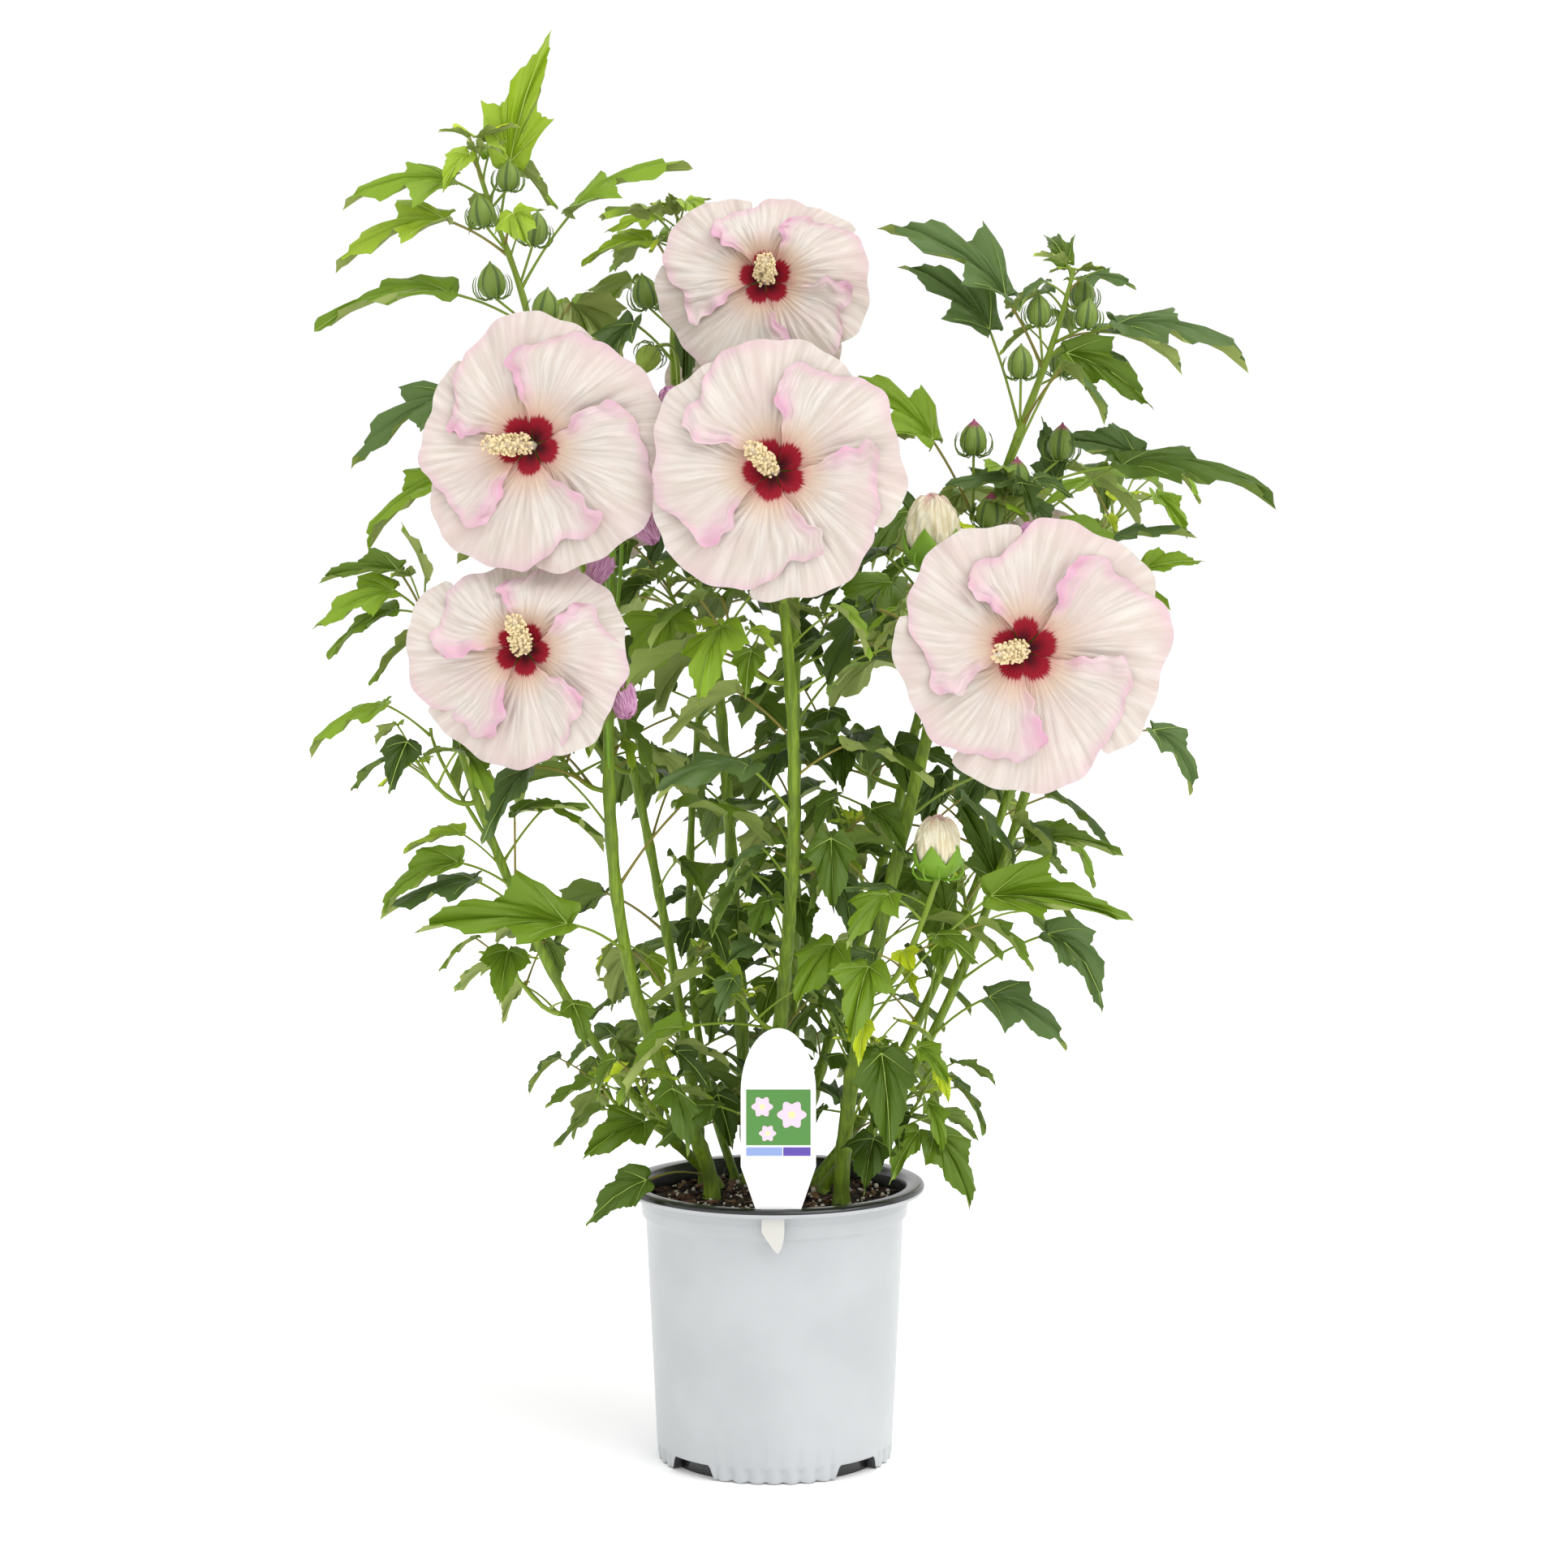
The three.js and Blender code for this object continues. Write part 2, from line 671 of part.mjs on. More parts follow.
// A leaf that has no room is tried turned aside, hanging lower and smaller, and then left out.
function placeLeaf(leaf) {
  for (let i = 0; i < TRIES.length; i++) {
    const tried = {
      ...leaf,
      side: leaf.side + TRIES[i],
      pitch: leaf.pitch - TRY_DROOP * i,
      blade: leaf.blade * (1 - TRY_SHRINK * i),
    };
    const samples = leafSamples(tried);
    if (hasRoom(samples)) {
      claim(samples);
      return tried;
    }
  }
  return null;
}

// Buds stand on stalks, straight up from the stalk's end.
function budLimb(bud) {
  const aim = heading(bud.side, bud.rise);
  const end = along(bud.root, aim, bud.stalk);
  const path = [0, 1 / 3, 2 / 3, 1].map((t) => bud.root.clone().lerp(end, t));
  const radii = [BUD.stalkRadius, BUD.stalkRadius];
  return { path, radii, across: heading(bud.side + 90, 0), steps: 1 };
}

function budGeometries(bud) {
  const limb = budLimb(bud);
  const ball = new THREE.SphereGeometry(1, BUD.sides, BUD.rings);
  ball.rotateX(Math.PI / 2);
  ball.scale(bud.size / 2, bud.size / 2, bud.height / 2);
  const middle = along(limb.path[3], UP, bud.height / 2 - BUD.sunk);
  ball.translate(middle.x, middle.y, middle.z);
  return [limbGeometry(limb, TWIG_SIDES), ball];
}

function budSamples(bud) {
  const limb = budLimb(bud);
  const middle = along(limb.path[3], UP, bud.height / 2 - BUD.sunk);
  const rings = [-0.3, 0.3].map((share) => ({
    point: along(middle, UP, bud.height * share),
    reach: bud.size / 2 + BUD.reach,
  }));
  return [...limbSamples(limb, ROOT_FREE), ...rings];
}

function placeBud(bud) {
  for (const turn of TRIES) {
    const tried = { ...bud, side: bud.side + turn };
    const samples = budSamples(tried);
    if (hasRoom(samples)) {
      claim(samples);
      return tried;
    }
  }
  return null;
}

// A mass of foliage: one twig with its leaves and buds fused on
function addFoliage(name, twig, leaves, buds) {
  const pieces = [limbGeometry(twig, TWIG_SIDES)];
  for (const leaf of leaves) {
    const placed = placeLeaf(leaf);
    if (placed) pieces.push(leafGeometry(placed));
  }
  for (const bud of buds) {
    const placed = placeBud(bud);
    if (placed) pieces.push(...budGeometries(placed));
  }
  addMesh(name, fuse(pieces), "foliage");
}

const limbs = new Map();

// Where a twig or stalk leaves a limb: at its tip, or square to its side
function rootOn(name, at, side) {
  const limb = limbs.get(name);
  if (at === undefined) {
    const direction = pathDirection(limb.path, 1);
    return { point: along(limb.path[3], direction, GAP), direction };
  }
  const axis = axisAt(limb, at);
  const flat = heading(side, 0);
  const direction = along(flat, axis.direction, -flat.dot(axis.direction)).normalize();
  const radius = mix(limb.radii[0], limb.radii[1], at);
  return { point: along(axis.point, direction, radius + GAP), direction };
}

function twigFrom(root, end, radii) {
  const length = root.point.distanceTo(end);
  const last = end.clone().sub(root.point).normalize().lerp(UP, TWIG.bend).normalize();
  const path = [
    root.point,
    along(root.point, root.direction, length * TWIG.bend),
    along(end, last, -length * TWIG.bend),
    end,
  ];
  const across = new THREE.Vector3().crossVectors(root.direction, UP);
  if (across.length() < 0.05) across.copy(EAST);
  return { path, radii, across: across.normalize(), steps: TWIG_STEPS };
}

function bladeAt(height, share) {
  const grown = (height - SOIL.top) / (BLADE.fullHeight - SOIL.top);
  return mix(BLADE.low, BLADE.high, Math.min(1, Math.max(0, grown))) * share;
}

// Leaves fan out to either side of a twig, the largest first.
function twigLeaves(twig, count, side, random) {
  const leaves = [];
  const spread = (width) => width * (random() - 0.5);
  for (let k = 0; k < count; k++) {
    const root = axisAt(twig, span(...TWIG_LEAF.at, k, count)).point;
    const size = span(...TWIG_LEAF.size, k, count) * (1 + spread(TWIG_LEAF.sizeSpread));
    const blade = bladeAt(root.z, size);
    const fan = span(...TWIG_LEAF.fan, k, count) * (k % 2 ? 1 : -1);
    leaves.push({
      root,
      side: side + fan + spread(TWIG_LEAF.fanSpread),
      rise: span(...TWIG_LEAF.rise, k, count) + spread(TWIG_LEAF.riseSpread),
      petiole: blade * mix(...TWIG_LEAF.petiole, random()),
      blade,
      pitch: mix(...TWIG_LEAF.pitch, random()),
      curl: mix(...TWIG_LEAF.curl, random()),
      lobing: mix(...TWIG_LEAF.lobing, random()),
    });
  }
  return leaves;
}

function topLeaves(twig, rows) {
  return rows.map(({ at, ...leaf }) => ({ ...leaf, ...TOP_LEAF, root: axisAt(twig, at).point }));
}

function topBuds(twig, rows) {
  return rows.map(({ at, ...bud }) => {
    const root = axisAt(twig, at).point;
    return { ...bud, root, height: bud.size * BUD.tall };
  });
}

// Pot: a plain tub with a band under its lip, notches round its foot and a slot for the tag
function lathe(points, segments) {
  const geometry = new THREE.LatheGeometry(
    points.map(([radius, height]) => new THREE.Vector2(radius, height)),
    segments,
  );
  return geometry.rotateX(Math.PI / 2);
}

const innerRadius = (height) =>
  mix(POT.footRadius, POT.shoulderRadius, height / POT.shoulderHeight) - POT.wall;
const ledgeRadius = innerRadius(POT.ledgeHeight) - POT.ledgeWidth;
const mouthRadius = POT.bandRadius - POT.wall;

function addPot() {
  let pot = solidOf(
    lathe([
      [0, 0],
      [POT.footRadius, 0],
      [POT.shoulderRadius, POT.shoulderHeight],
      [POT.bandRadius, POT.shoulderHeight + POT.rounding],
      [POT.bandRadius, POT.bandTop],
      [POT.lipRadius - POT.rounding, POT.bandTop + POT.rounding],
      [POT.lipRadius, POT.bandTop + 2 * POT.rounding],
      [POT.lipRadius, POT.height - POT.rounding],
      [POT.lipRadius - POT.rounding, POT.height],
      [mouthRadius + POT.rounding, POT.height],
      [mouthRadius, POT.height - POT.rounding],
      [innerRadius(POT.shoulderHeight), POT.shoulderHeight],
      [innerRadius(POT.ledgeHeight), POT.ledgeHeight],
      [ledgeRadius, POT.ledgeHeight],
      [ledgeRadius - POT.ledgeSlope, POT.floor],
      [0, POT.floor],
    ], POT.segments),
  );
  for (let k = 0; k < NOTCH.count; k++) {
    const notch = new THREE.BoxGeometry(NOTCH.depth * 2, NOTCH.width, NOTCH.height * 2);
    notch.translate(POT.footRadius, 0, 0);
    notch.rotateZ(radians(NOTCH.firstAngle + (k * 360) / NOTCH.count));
    pot = pot.subtract(solidOf(notch));
  }
  const slotSize = [TAG.tongueWidth + 2 * GAP, TAG.thickness + 2 * GAP, TAG.slotHeight];
  const slot = new THREE.BoxGeometry(...slotSize);
  slot.translate(TAG.x, TAG.y, POT.height);
  addMesh("pot", geometryOf(pot.subtract(solidOf(slot))), "pot");
}

function addSoil() {
  const bottom = POT.ledgeHeight + GAP;
  const shoulder = innerRadius(POT.shoulderHeight);
  const slope = (mouthRadius - shoulder) / (POT.height - POT.rounding - POT.shoulderHeight);
  const edge = shoulder + slope * (SOIL.edgeTop - POT.shoulderHeight);
  addMesh(
    "soil",
    lathe([
      [0, POT.floor + GAP],
      [ledgeRadius - POT.ledgeSlope - GAP, POT.floor + GAP],
      [ledgeRadius - GAP, bottom],
      [innerRadius(bottom) - GAP, bottom],
      [shoulder - GAP, POT.shoulderHeight],
      [edge - GAP, SOIL.edgeTop],
      [SOIL.flatRadius, SOIL.top],
      [0, SOIL.top],
    ], POT.segments),
    "soil",
  );
}

// Tag: a flat blade with a round head and a pointed tongue that goes through the lip's slot
function addTag() {
  const half = TAG.width / 2;
  const outline = new THREE.Shape();
  outline.moveTo(0, TAG.tongueEnd);
  outline.lineTo(TAG.tongueWidth / 2, TAG.tongueTaper);
  outline.lineTo(TAG.tongueWidth / 2, TAG.foot);
  outline.lineTo(TAG.footWidth / 2, TAG.foot);
  outline.lineTo(half, TAG.taperTop);
  outline.lineTo(half, TAG.sideTop);
  outline.absellipse(0, TAG.sideTop, half, TAG.top - TAG.sideTop, 0, Math.PI, false, 0);
  outline.lineTo(-half, TAG.taperTop);
  outline.lineTo(-TAG.footWidth / 2, TAG.foot);
  outline.lineTo(-TAG.tongueWidth / 2, TAG.foot);
  outline.lineTo(-TAG.tongueWidth / 2, TAG.tongueTaper);
  const blade = new THREE.ExtrudeGeometry(outline, {
    depth: TAG.thickness,
    bevelEnabled: false,
    curveSegments: 10,
  });
  blade.rotateX(Math.PI / 2);
  blade.translate(TAG.x, TAG.y + TAG.thickness / 2, 0);
  addMesh("plant_tag", blade, "tag");
}

function addStems() {
  for (const { name, foot, rise, shoulder, tip, diameters } of STEMS) {
    const ground = vector([...foot, SOIL.top + GAP]);
    const path = [ground, along(ground, UP, rise), vector(shoulder), vector(tip)];
    const radii = diameters.map((diameter) => diameter / 2);
    limbs.set(name, { path, radii, across: EAST, steps: STEM_STEPS, level: true });
  }
  for (const { name, from, shoulder, tip, diameters } of BOUGHS) {
    const root = rootOn(from);
    const third = root.point.distanceTo(vector(tip)) / 3;
    const path = [
      root.point,
      along(root.point, root.direction, third),
      vector(shoulder),
      vector(tip),
    ];
    const radii = diameters.map((diameter) => diameter / 2);
    limbs.set(name, { path, radii, across: EAST, steps: STEM_STEPS });
  }
  for (const [name, limb] of limbs) {
    const kind = BOUGHS.some((bough) => bough.name === name) ? "bough_" : "stem_";
    addMesh(kind + name, limbGeometry(limb, STEM_SIDES), "stem");
    claim(limbSamples(limb, 0));
  }
}

// Blooms: a shallow saucer of five broad petals round a calyx and a column. Each petal's left edge
// stands over the next petal, and sinks to it again towards the rim.
function bloomFrame({ eye, face }) {
  const out = heading(face[0], face[1]);
  const right = new THREE.Vector3().crossVectors(UP, out).normalize();
  const above = new THREE.Vector3().crossVectors(out, right);
  return { eye: vector(eye), out, right, above };
}

function bloomPoint(bloom, frame, share, angle, lift) {
  const radius = share * bloom.radius;
  const turned = radians(bloom.spin + angle);
  const hollow = -BLOOM.throat * Math.max(0, 1 - share) ** 4 - BLOOM.reflex * share ** 3;
  return frame.eye
    .clone()
    .addScaledVector(frame.right, radius * Math.cos(turned))
    .addScaledVector(frame.above, radius * Math.sin(turned))
    .addScaledVector(frame.out, hollow + lift);
}

function saucerGeometry(bloom, frame) {
  const { petals, petalColumns, rings, rims, overlap, thickness } = BLOOM;
  const columns = petals * petalColumns;
  const last = rings.length - 1;
  const crest = (row) => overlap * Math.sin((Math.PI * row) / last);
  const place = (column, row, lift) => {
    const share = row === last ? rims[column % petalColumns] : rings[row];
    return bloomPoint(bloom, frame, share, (360 * column) / columns, lift);
  };
  const front = (column, row) =>
    place(column, row, (crest(row) * (column % petalColumns)) / petalColumns);
  const back = (column, row) => along(place(column, row, 0), frame.out, -thickness);
  const faces = [];
  const quad = (a, b, c, d) => faces.push(a, b, c, a, c, d);
  for (let column = 0; column < columns; column++) {
    const next = (column + 1) % columns;
    const endsPetal = next % petalColumns === 0;
    const far = (row) => (endsPetal ? place(next, row, crest(row)) : front(next, row));
    for (let row = 0; row < last; row++) {
      quad(front(column, row), front(column, row + 1), far(row + 1), far(row));
      quad(back(column, row), back(next, row), back(next, row + 1), back(column, row + 1));
      if (!endsPetal) continue;
      if (row > 0) faces.push(far(row), far(row + 1), front(next, row));
      if (row + 1 < last) faces.push(far(row + 1), front(next, row + 1), front(next, row));
    }
    quad(front(next, 0), back(next, 0), back(column, 0), front(column, 0));
    quad(front(column, last), back(column, last), back(next, last), front(next, last));
  }
  return new THREE.BufferGeometry().setFromPoints(faces);
}

function bloomStalk(bloom, frame) {
  const root = rootOn(bloom.on, bloom.at, bloom.side);
  const end = along(frame.eye, frame.out, BLOOM.stalkSunk - BLOOM.throat - BLOOM.calyxLength);
  const third = root.point.distanceTo(end) / 3;
  const path = [
    root.point,
    along(root.point, root.direction, third),
    along(end, frame.out, -third),
    end,
  ];
  const radii = [BLOOM.stalkRadius, BLOOM.stalkRadius];
  return { path, radii, across: EAST, steps: BLOOM.stalkSteps };
}

function calyxGeometry(frame) {
  const foot = -BLOOM.throat - BLOOM.calyxLength;
  const cup = lathe(
    [
      [0, foot],
      [BLOOM.calyxFoot, foot],
      [BLOOM.calyxRadius, -BLOOM.throat - BLOOM.calyxBand],
      [BLOOM.calyxRadius, -BLOOM.throat + BLOOM.calyxBand],
      [0, -BLOOM.throat + BLOOM.calyxBand],
    ],
    BLOOM.calyxSides,
  );
  return cup.applyMatrix4(
    new THREE.Matrix4().makeBasis(frame.right, frame.above, frame.out).setPosition(frame.eye),
  );
}

function columnLimb(frame) {
  const start = along(frame.eye, frame.out, -BLOOM.throat);
  const end = along(start, frame.out, BLOOM.columnLength);
  const path = [0, 1 / 3, 2 / 3, 1].map((t) => start.clone().lerp(end, t));
  const radii = [BLOOM.columnRadius, BLOOM.columnRadius * BLOOM.columnFlare];
  return { path, radii, across: frame.right, steps: 1 };
}

function petalSamples(bloom, frame) {
  const samples = [];
  const rings = Math.ceil(bloom.radius / SAMPLE);
  for (let i = 1; i <= rings; i++) {
    const share = i / rings;
    const count = Math.ceil((2 * Math.PI * share * bloom.radius) / SAMPLE);
    for (let k = 0; k < count; k++) {
      const point = bloomPoint(bloom, frame, share, (360 * k) / count, BLOOM.overlap / 2);
      samples.push({ point, reach: LEAF_REACH + BLOOM.overlap / 2 });
    }
  }
  return samples;
}

function addBlooms() {
  for (const bloom of BLOOMS) {
    const frame = bloomFrame(bloom);
    const stalk = bloomStalk(bloom, frame);
    const pieces = [calyxGeometry(frame), limbGeometry(stalk, BLOOM.stalkSides)];
    pieces.push(saucerGeometry(bloom, frame), limbGeometry(columnLimb(frame), BLOOM.columnSides));
    addMesh(bloom.name, fuse(pieces), "bloom");
    claim(petalSamples(bloom, frame));
    claim(limbSamples(stalk, 0));
    const cup = along(frame.eye, frame.out, -BLOOM.throat - BLOOM.calyxBand);
    claim([{ point: cup, reach: BLOOM.calyxRadius }]);
  }
}

function addTops() {
  for (const { name, on, apex, leaves, buds } of TOPS) {
    const radius = limbs.get(on).radii[1];
    const twig = twigFrom(rootOn(on), vector(apex), [radius, TWIG_RADII.crest]);
    claim(limbSamples(twig, 0));
    addFoliage(name, twig, topLeaves(twig, leaves), topBuds(twig, buds));
  }
  for (const { name, on, at, side, leaves, buds } of STUBS) {
    const root = rootOn(on, at, side);
    const end = along(root.point, root.direction, STUB_LENGTH);
    const twig = twigFrom(root, end, TWIG_RADII.stub);
    claim(limbSamples(twig, 0));
    addFoliage(name, twig, topLeaves(twig, leaves), topBuds(twig, buds));
  }
}

function addBudTwigs() {
  BUD_TWIGS.forEach(({ name, on, at, side, to }, index) => {
    const twig = twigFrom(rootOn(on, at, side), vector(to), TWIG_RADII.bud);
    claim(limbSamples(twig, 0));
    const root = along(vector(to), UP, -FULL_BUD.stalk);
    const bud = { ...FULL_BUD, root, side: 0, rise: 90 };
    claim(budSamples(bud));
    const random = draws(SEED + 11 * index);
    const leaves = twigLeaves(twig, BUD_TWIG_LEAVES, side, random);
    const pieces = [limbGeometry(twig, TWIG_SIDES), ...budGeometries(bud)];
    for (const leaf of leaves) {
      const placed = placeLeaf({ ...leaf, lobing: BUD_TWIG_LOBING });
      if (placed) pieces.push(leafGeometry(placed));
    }
    addMesh(name, fuse(pieces), "foliage");
  });
}

function addTipTwigs() {
  const twigs = TIP_TWIGS.map(({ on, to }) => {
    const radii = [limbs.get(on).radii[1], TWIG_RADII.tip];
    return twigFrom(rootOn(on), vector(to), radii);
  });
  twigs.forEach((twig) => claim(limbSamples(twig, 0)));
  twigs.forEach((twig, index) => {
    const leaves = tipLeaves(twig, draws(SEED + 31 * (index + 3)));
    addFoliage("foliage_" + TIP_TWIGS[index].on + "_tip", twig, leaves, []);
  });
}

function addSideTwigs() {
  SIDE_TWIGS.forEach(({ on, count, from, to, side, turn, length }, index) => {
    for (let k = 0; k < count; k++) {
      const random = draws(SEED + 101 * (index + 1) + 17 * k);
      const turned = side + (turn ?? TURN) * k;
      const root = rootOn(on, span(from, to, k, count), turned);
      const twig = freeTwig(root, turned, length * mix(...SIDE_LENGTH, random()));
      claim(limbSamples(twig, 0));
      const leaves = twigLeaves(twig, SIDE_LEAVES, turned, random);
      addFoliage("foliage_" + on + "_" + (k + 1), twig, leaves, []);
    }
  });
}

// A side twig leans aside, and grows shorter, until it stands clear.
function freeTwig(root, side, length) {
  let twig;
  for (let i = 0; i < TRIES.length; i++) {
    const direction = heading(side + TRIES[i] / 2, TWIG.rise);
    const end = along(root.point, direction, length * (1 - TWIG.shrink * i));
    twig = twigFrom(root, end, TWIG_RADII.side);
    if (hasRoom(limbSamples(twig, TWIG.rootFree))) return twig;
  }
  return twig;
}

// Round a tip the leaves stand on all sides.
function tipLeaves(twig, random) {
  const leaves = twigLeaves(twig, TIP_LEAVES, 0, random);
  const start = 360 * random();
  return leaves.map((leaf, k) => ({ ...leaf, side: start + TURN * k }));
}

addPot();
addSoil();
addTag();
addStems();
addBlooms();
addTops();
addBudTwigs();
addTipTwigs();
addSideTwigs();

export default plant;
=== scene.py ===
import math

import bpy
import numpy as np
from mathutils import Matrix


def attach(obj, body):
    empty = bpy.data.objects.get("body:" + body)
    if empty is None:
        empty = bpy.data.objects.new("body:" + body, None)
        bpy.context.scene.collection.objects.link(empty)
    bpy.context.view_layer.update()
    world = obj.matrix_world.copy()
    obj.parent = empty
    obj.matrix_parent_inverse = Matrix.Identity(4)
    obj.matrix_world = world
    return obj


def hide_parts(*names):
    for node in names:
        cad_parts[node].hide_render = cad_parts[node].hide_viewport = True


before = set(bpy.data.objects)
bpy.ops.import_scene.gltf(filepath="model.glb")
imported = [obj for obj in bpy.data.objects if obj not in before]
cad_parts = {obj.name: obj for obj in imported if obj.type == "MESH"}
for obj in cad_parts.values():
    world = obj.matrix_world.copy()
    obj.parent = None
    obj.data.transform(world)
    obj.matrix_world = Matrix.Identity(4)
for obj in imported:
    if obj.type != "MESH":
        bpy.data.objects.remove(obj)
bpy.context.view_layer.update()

MM = 0.001
GAP = 0.3
UP = np.array([0.0, 0.0, 1.0])
EAST = np.array([1.0, 0.0, 0.0])

# The camera stands where the photograph was taken from
CAMERA_PLACE = (7.2, -2800, 766.3)
CAMERA_PITCH = 0.0862
CAMERA_LENS = 84.0
CAMERA_SENSOR = 36
CAMERA_END = 100

# Pot, soil and tag
POT = dict(
    foot=91, shoulder=100, shoulder_height=190, lip=116, height=215.5, wall=2, floor=3, ledge_height=11.5,
    ledge_width=10, ledge_slope=4, recess=9,
)
NOTCH = dict(count=4, first=45, half=11.5, slope=3.5, height=11)
FLUTES = dict(per_foot=7, height=14, depth=3.2, rise=0.35, drop=1.2)
SOIL = dict(top=203, edge_top=198, foot=186, radius=98.4)
TAG = dict(
    x=3, y=-110, thickness=0.8, foot=215.8, foot_width=34, width=56, taper_top=248,
    side_top=304, top=352, tongue_width=17, tongue_taper=190, tongue_end=182,
)


def rows(keys, lines):
    return [dict(zip(keys, line)) for line in lines]


# Stems, boughs and blooms, as the solids have them
STEMS = rows(("name", "foot", "rise", "shoulder", "tip", "wide"), [
    ("left_low", (-44, 30), 20, (-159, -36, 284), (-239, -70, 571), (9, 5.6)),
    ("left_tall", (-49, -1), 75, (-144, -58, 310), (-122, -40, 647), (12, 8)),
    ("left_mid", (-56, 48), 20, (-81, 31, 437), (-141, 5, 668), (9, 5.6)),
    ("back_left", (-21, 58), 21, (-39, 142, 604), (-57, 95, 694), (11, 7)),
    ("back_slim", (-32, 68), 20, (-96, 106, 300), (-55, 170, 619), (7.5, 5)),
    ("centre", (-3, -23), 160, (29, -75, 452), (7, -70, 665), (11, 7.4)),
    ("centre_back", (13, 32), 160, (24, 89, 760), (2, 35, 826), (11, 6)),
    ("right_main", (51, -26), 74, (70, -82, 406), (142, 1, 655), (12.5, 8.4)),
    ("right_back", (32, 48), 20, (129, 92, 262), (235, 115, 677), (9, 5.6)),
    ("right_low", (38, 22), 20, (127, -11, 262), (205, -35, 574), (9, 5.8)),
    ("back_right", (19, 61), 74, (90, 169, 401), (129, 175, 632), (9, 6)),
])
BOUGHS = rows(("name", "on", "shoulder", "tip", "wide"), [
    ("left_top", "left_tall", (-176, -4, 812), (-185, 0, 868), (7.6, 6)),
    ("mid_top", "back_left", (-76, 86, 790), (-79, 83, 836), (6.6, 5.6)),
    ("right_top", "right_main", (172, 10, 752), (186, 10, 790), (8, 6.6)),
])
STEM_STEPS = 7
TWIG_STEPS = 4
# A bloom's lean is the way its column bends, as an angle seen from the front, and how far
BLOOMS = rows(("name", "eye", "face", "radius", "spin", "on", "lean", "at", "side"), [
    ("bloom_top", (-7, -30, 909), (270, 4), 82, 20, "centre_back", (90, 7)),
    ("bloom_left", (-180, -130, 784), (262, 4), 93, 50, "left_mid", (185, 16)),
    ("bloom_centre", (0, -160, 766), (268, 6), 95, 35, "centre", (140, 13)),
    ("bloom_low_left", (-184, -150, 635), (264, 2), 82, 60, "left_low", (95, 13)),
    ("bloom_right", (184, -140, 634), (276, 2), 100, 12, "right_low", (186, 15)),
    ("bloom_rear_left", (-148, 64, 752), (104, 6), 70, 5, "left_top", (60, 8), 0.2, 95),
    ("bloom_rear_top", (-16, 118, 838), (92, 8), 82, 40, "centre_back", (120, 10), 0.9, 130),
    ("bloom_rear_right", (206, 64, 668), (78, 4), 66, 66, "right_main", (90, 9), 0.9, 60),
])
BLOOM = dict(
    petals=5, throat=24, reflex=8, overlap=7, calyx_radius=12, calyx_length=22, calyx_band=6,
    column=46, stalk_radius=2.5, stalk_sunk=2, stalk_steps=4,
)

# Leaves and the rule by which they grow, as the solids have them. The crown has a half width for each height.
LEAF = dict(
    petiole_radius=1.2, middle=0.3, fold=0.22, lobe_at=(0.16, 0.38), lobe_width=(0.42, 0.46),
    notch_at=(0.52, 0.44), notch_width=(0.25, 0.15),
)
CROWN = [(186, 165), (270, 232), (350, 262), (420, 312), (550, 366), (760, 396), (1100, 396)]
CROWN_DEPTH = 0.86
CROWN_MIDDLE_Y = 30
FOLIAGE_FRONT = -215
FREE = dict(tag_above=6, tag_behind=50, tag_side=6, lip=8, bloom_behind=12, bloom_side=4, rear_view=55)
SAMPLE = 5.5
LIMB_SAMPLE = 4
LEAF_REACH = 4.2
LIMB_SLACK = 1.1
ROOT_FREE = 14
SEED = 4711
TRIES = [0, 18, -18, 36, -36, 60, -60, 90, -90, 125, -125]
TRY_DROOP = 2.5
TRY_SHRINK = 0.03
TURN = 138
SIDE_TWIGS = rows(("on", "count", "start", "end", "side", "length", "turn"), [
    ("centre", 3, 0.32, 0.9, 250, 70),
    ("left_tall", 3, 0.3, 0.86, 230, 75),
    ("right_back", 2, 0.42, 0.78, 330, 80),
    ("left_low", 3, 0.4, 0.93, 165, 66, 16),
    ("right_low", 2, 0.4, 0.78, 320, 66),
    ("left_mid", 2, 0.36, 0.8, 104, 80),
    ("centre_back", 3, 0.34, 0.82, 300, 90),
    ("back_left", 2, 0.4, 0.84, 100, 90),
    ("back_right", 2, 0.42, 0.8, 60, 90),
    ("back_slim", 1, 0.5, 0.5, 150, 90),
    ("right_main", 1, 0.34, 0.34, 285, 70),
])
SIDE_LENGTH = (0.85, 1.15)
SIDE_LEAVES = 7
TIP_TWIGS = rows(("on", "to"), [
    ("right_back", (282, 150, 740)), ("back_right", (140, 228, 716)), ("back_slim", (-70, 236, 706)),
])
TIP_LEAVES = 8
BLADE = dict(low=74, high=104, full_height=640)
TWIG = dict(bend=0.35, rise=36, shrink=0.05, root_free=18)
TWIG_RADII = dict(crest=1.6, tip=1.4, side=(2.2, 1.3), stub=(2.2, 1.8), bud=(2.4, 2.2))
TWIG_LEAF = dict(
    at=(0.2, 0.97), size=(1.05, 0.62), size_spread=0.2, fan=(30, 75), fan_spread=40, rise=(12, 48),
    rise_spread=16, petiole=(0.62, 0.82), pitch=(-4, -28), curl=(24, 50), lobing=(0.2, 0.5),
)
TOP_LEAF = dict(curl=42, lobing=0.85)
BUD = dict(stalk_radius=1.1, sunk=1, tall=1.2, reach=0)
STUB_LENGTH = 10
FULL_BUD = dict(size=34, height=50, stalk=3)
BUD_TWIGS = rows(("name", "on", "at", "side", "to", "swell", "grown"), [
    ("bud_twig_high", "right_main", 0.93, 200, (120, -12, 690), 1.24, 1.14),
    ("bud_twig_low", "right_main", 0.52, 300, (122, -86, 462), 1.0, 0.94),
])
BUD_TWIG_LEAVES = 4
BUD_TWIG_LOBING = 0.7
LEAF_KEYS = ("at", "side", "rise", "petiole", "blade", "pitch", "roll")
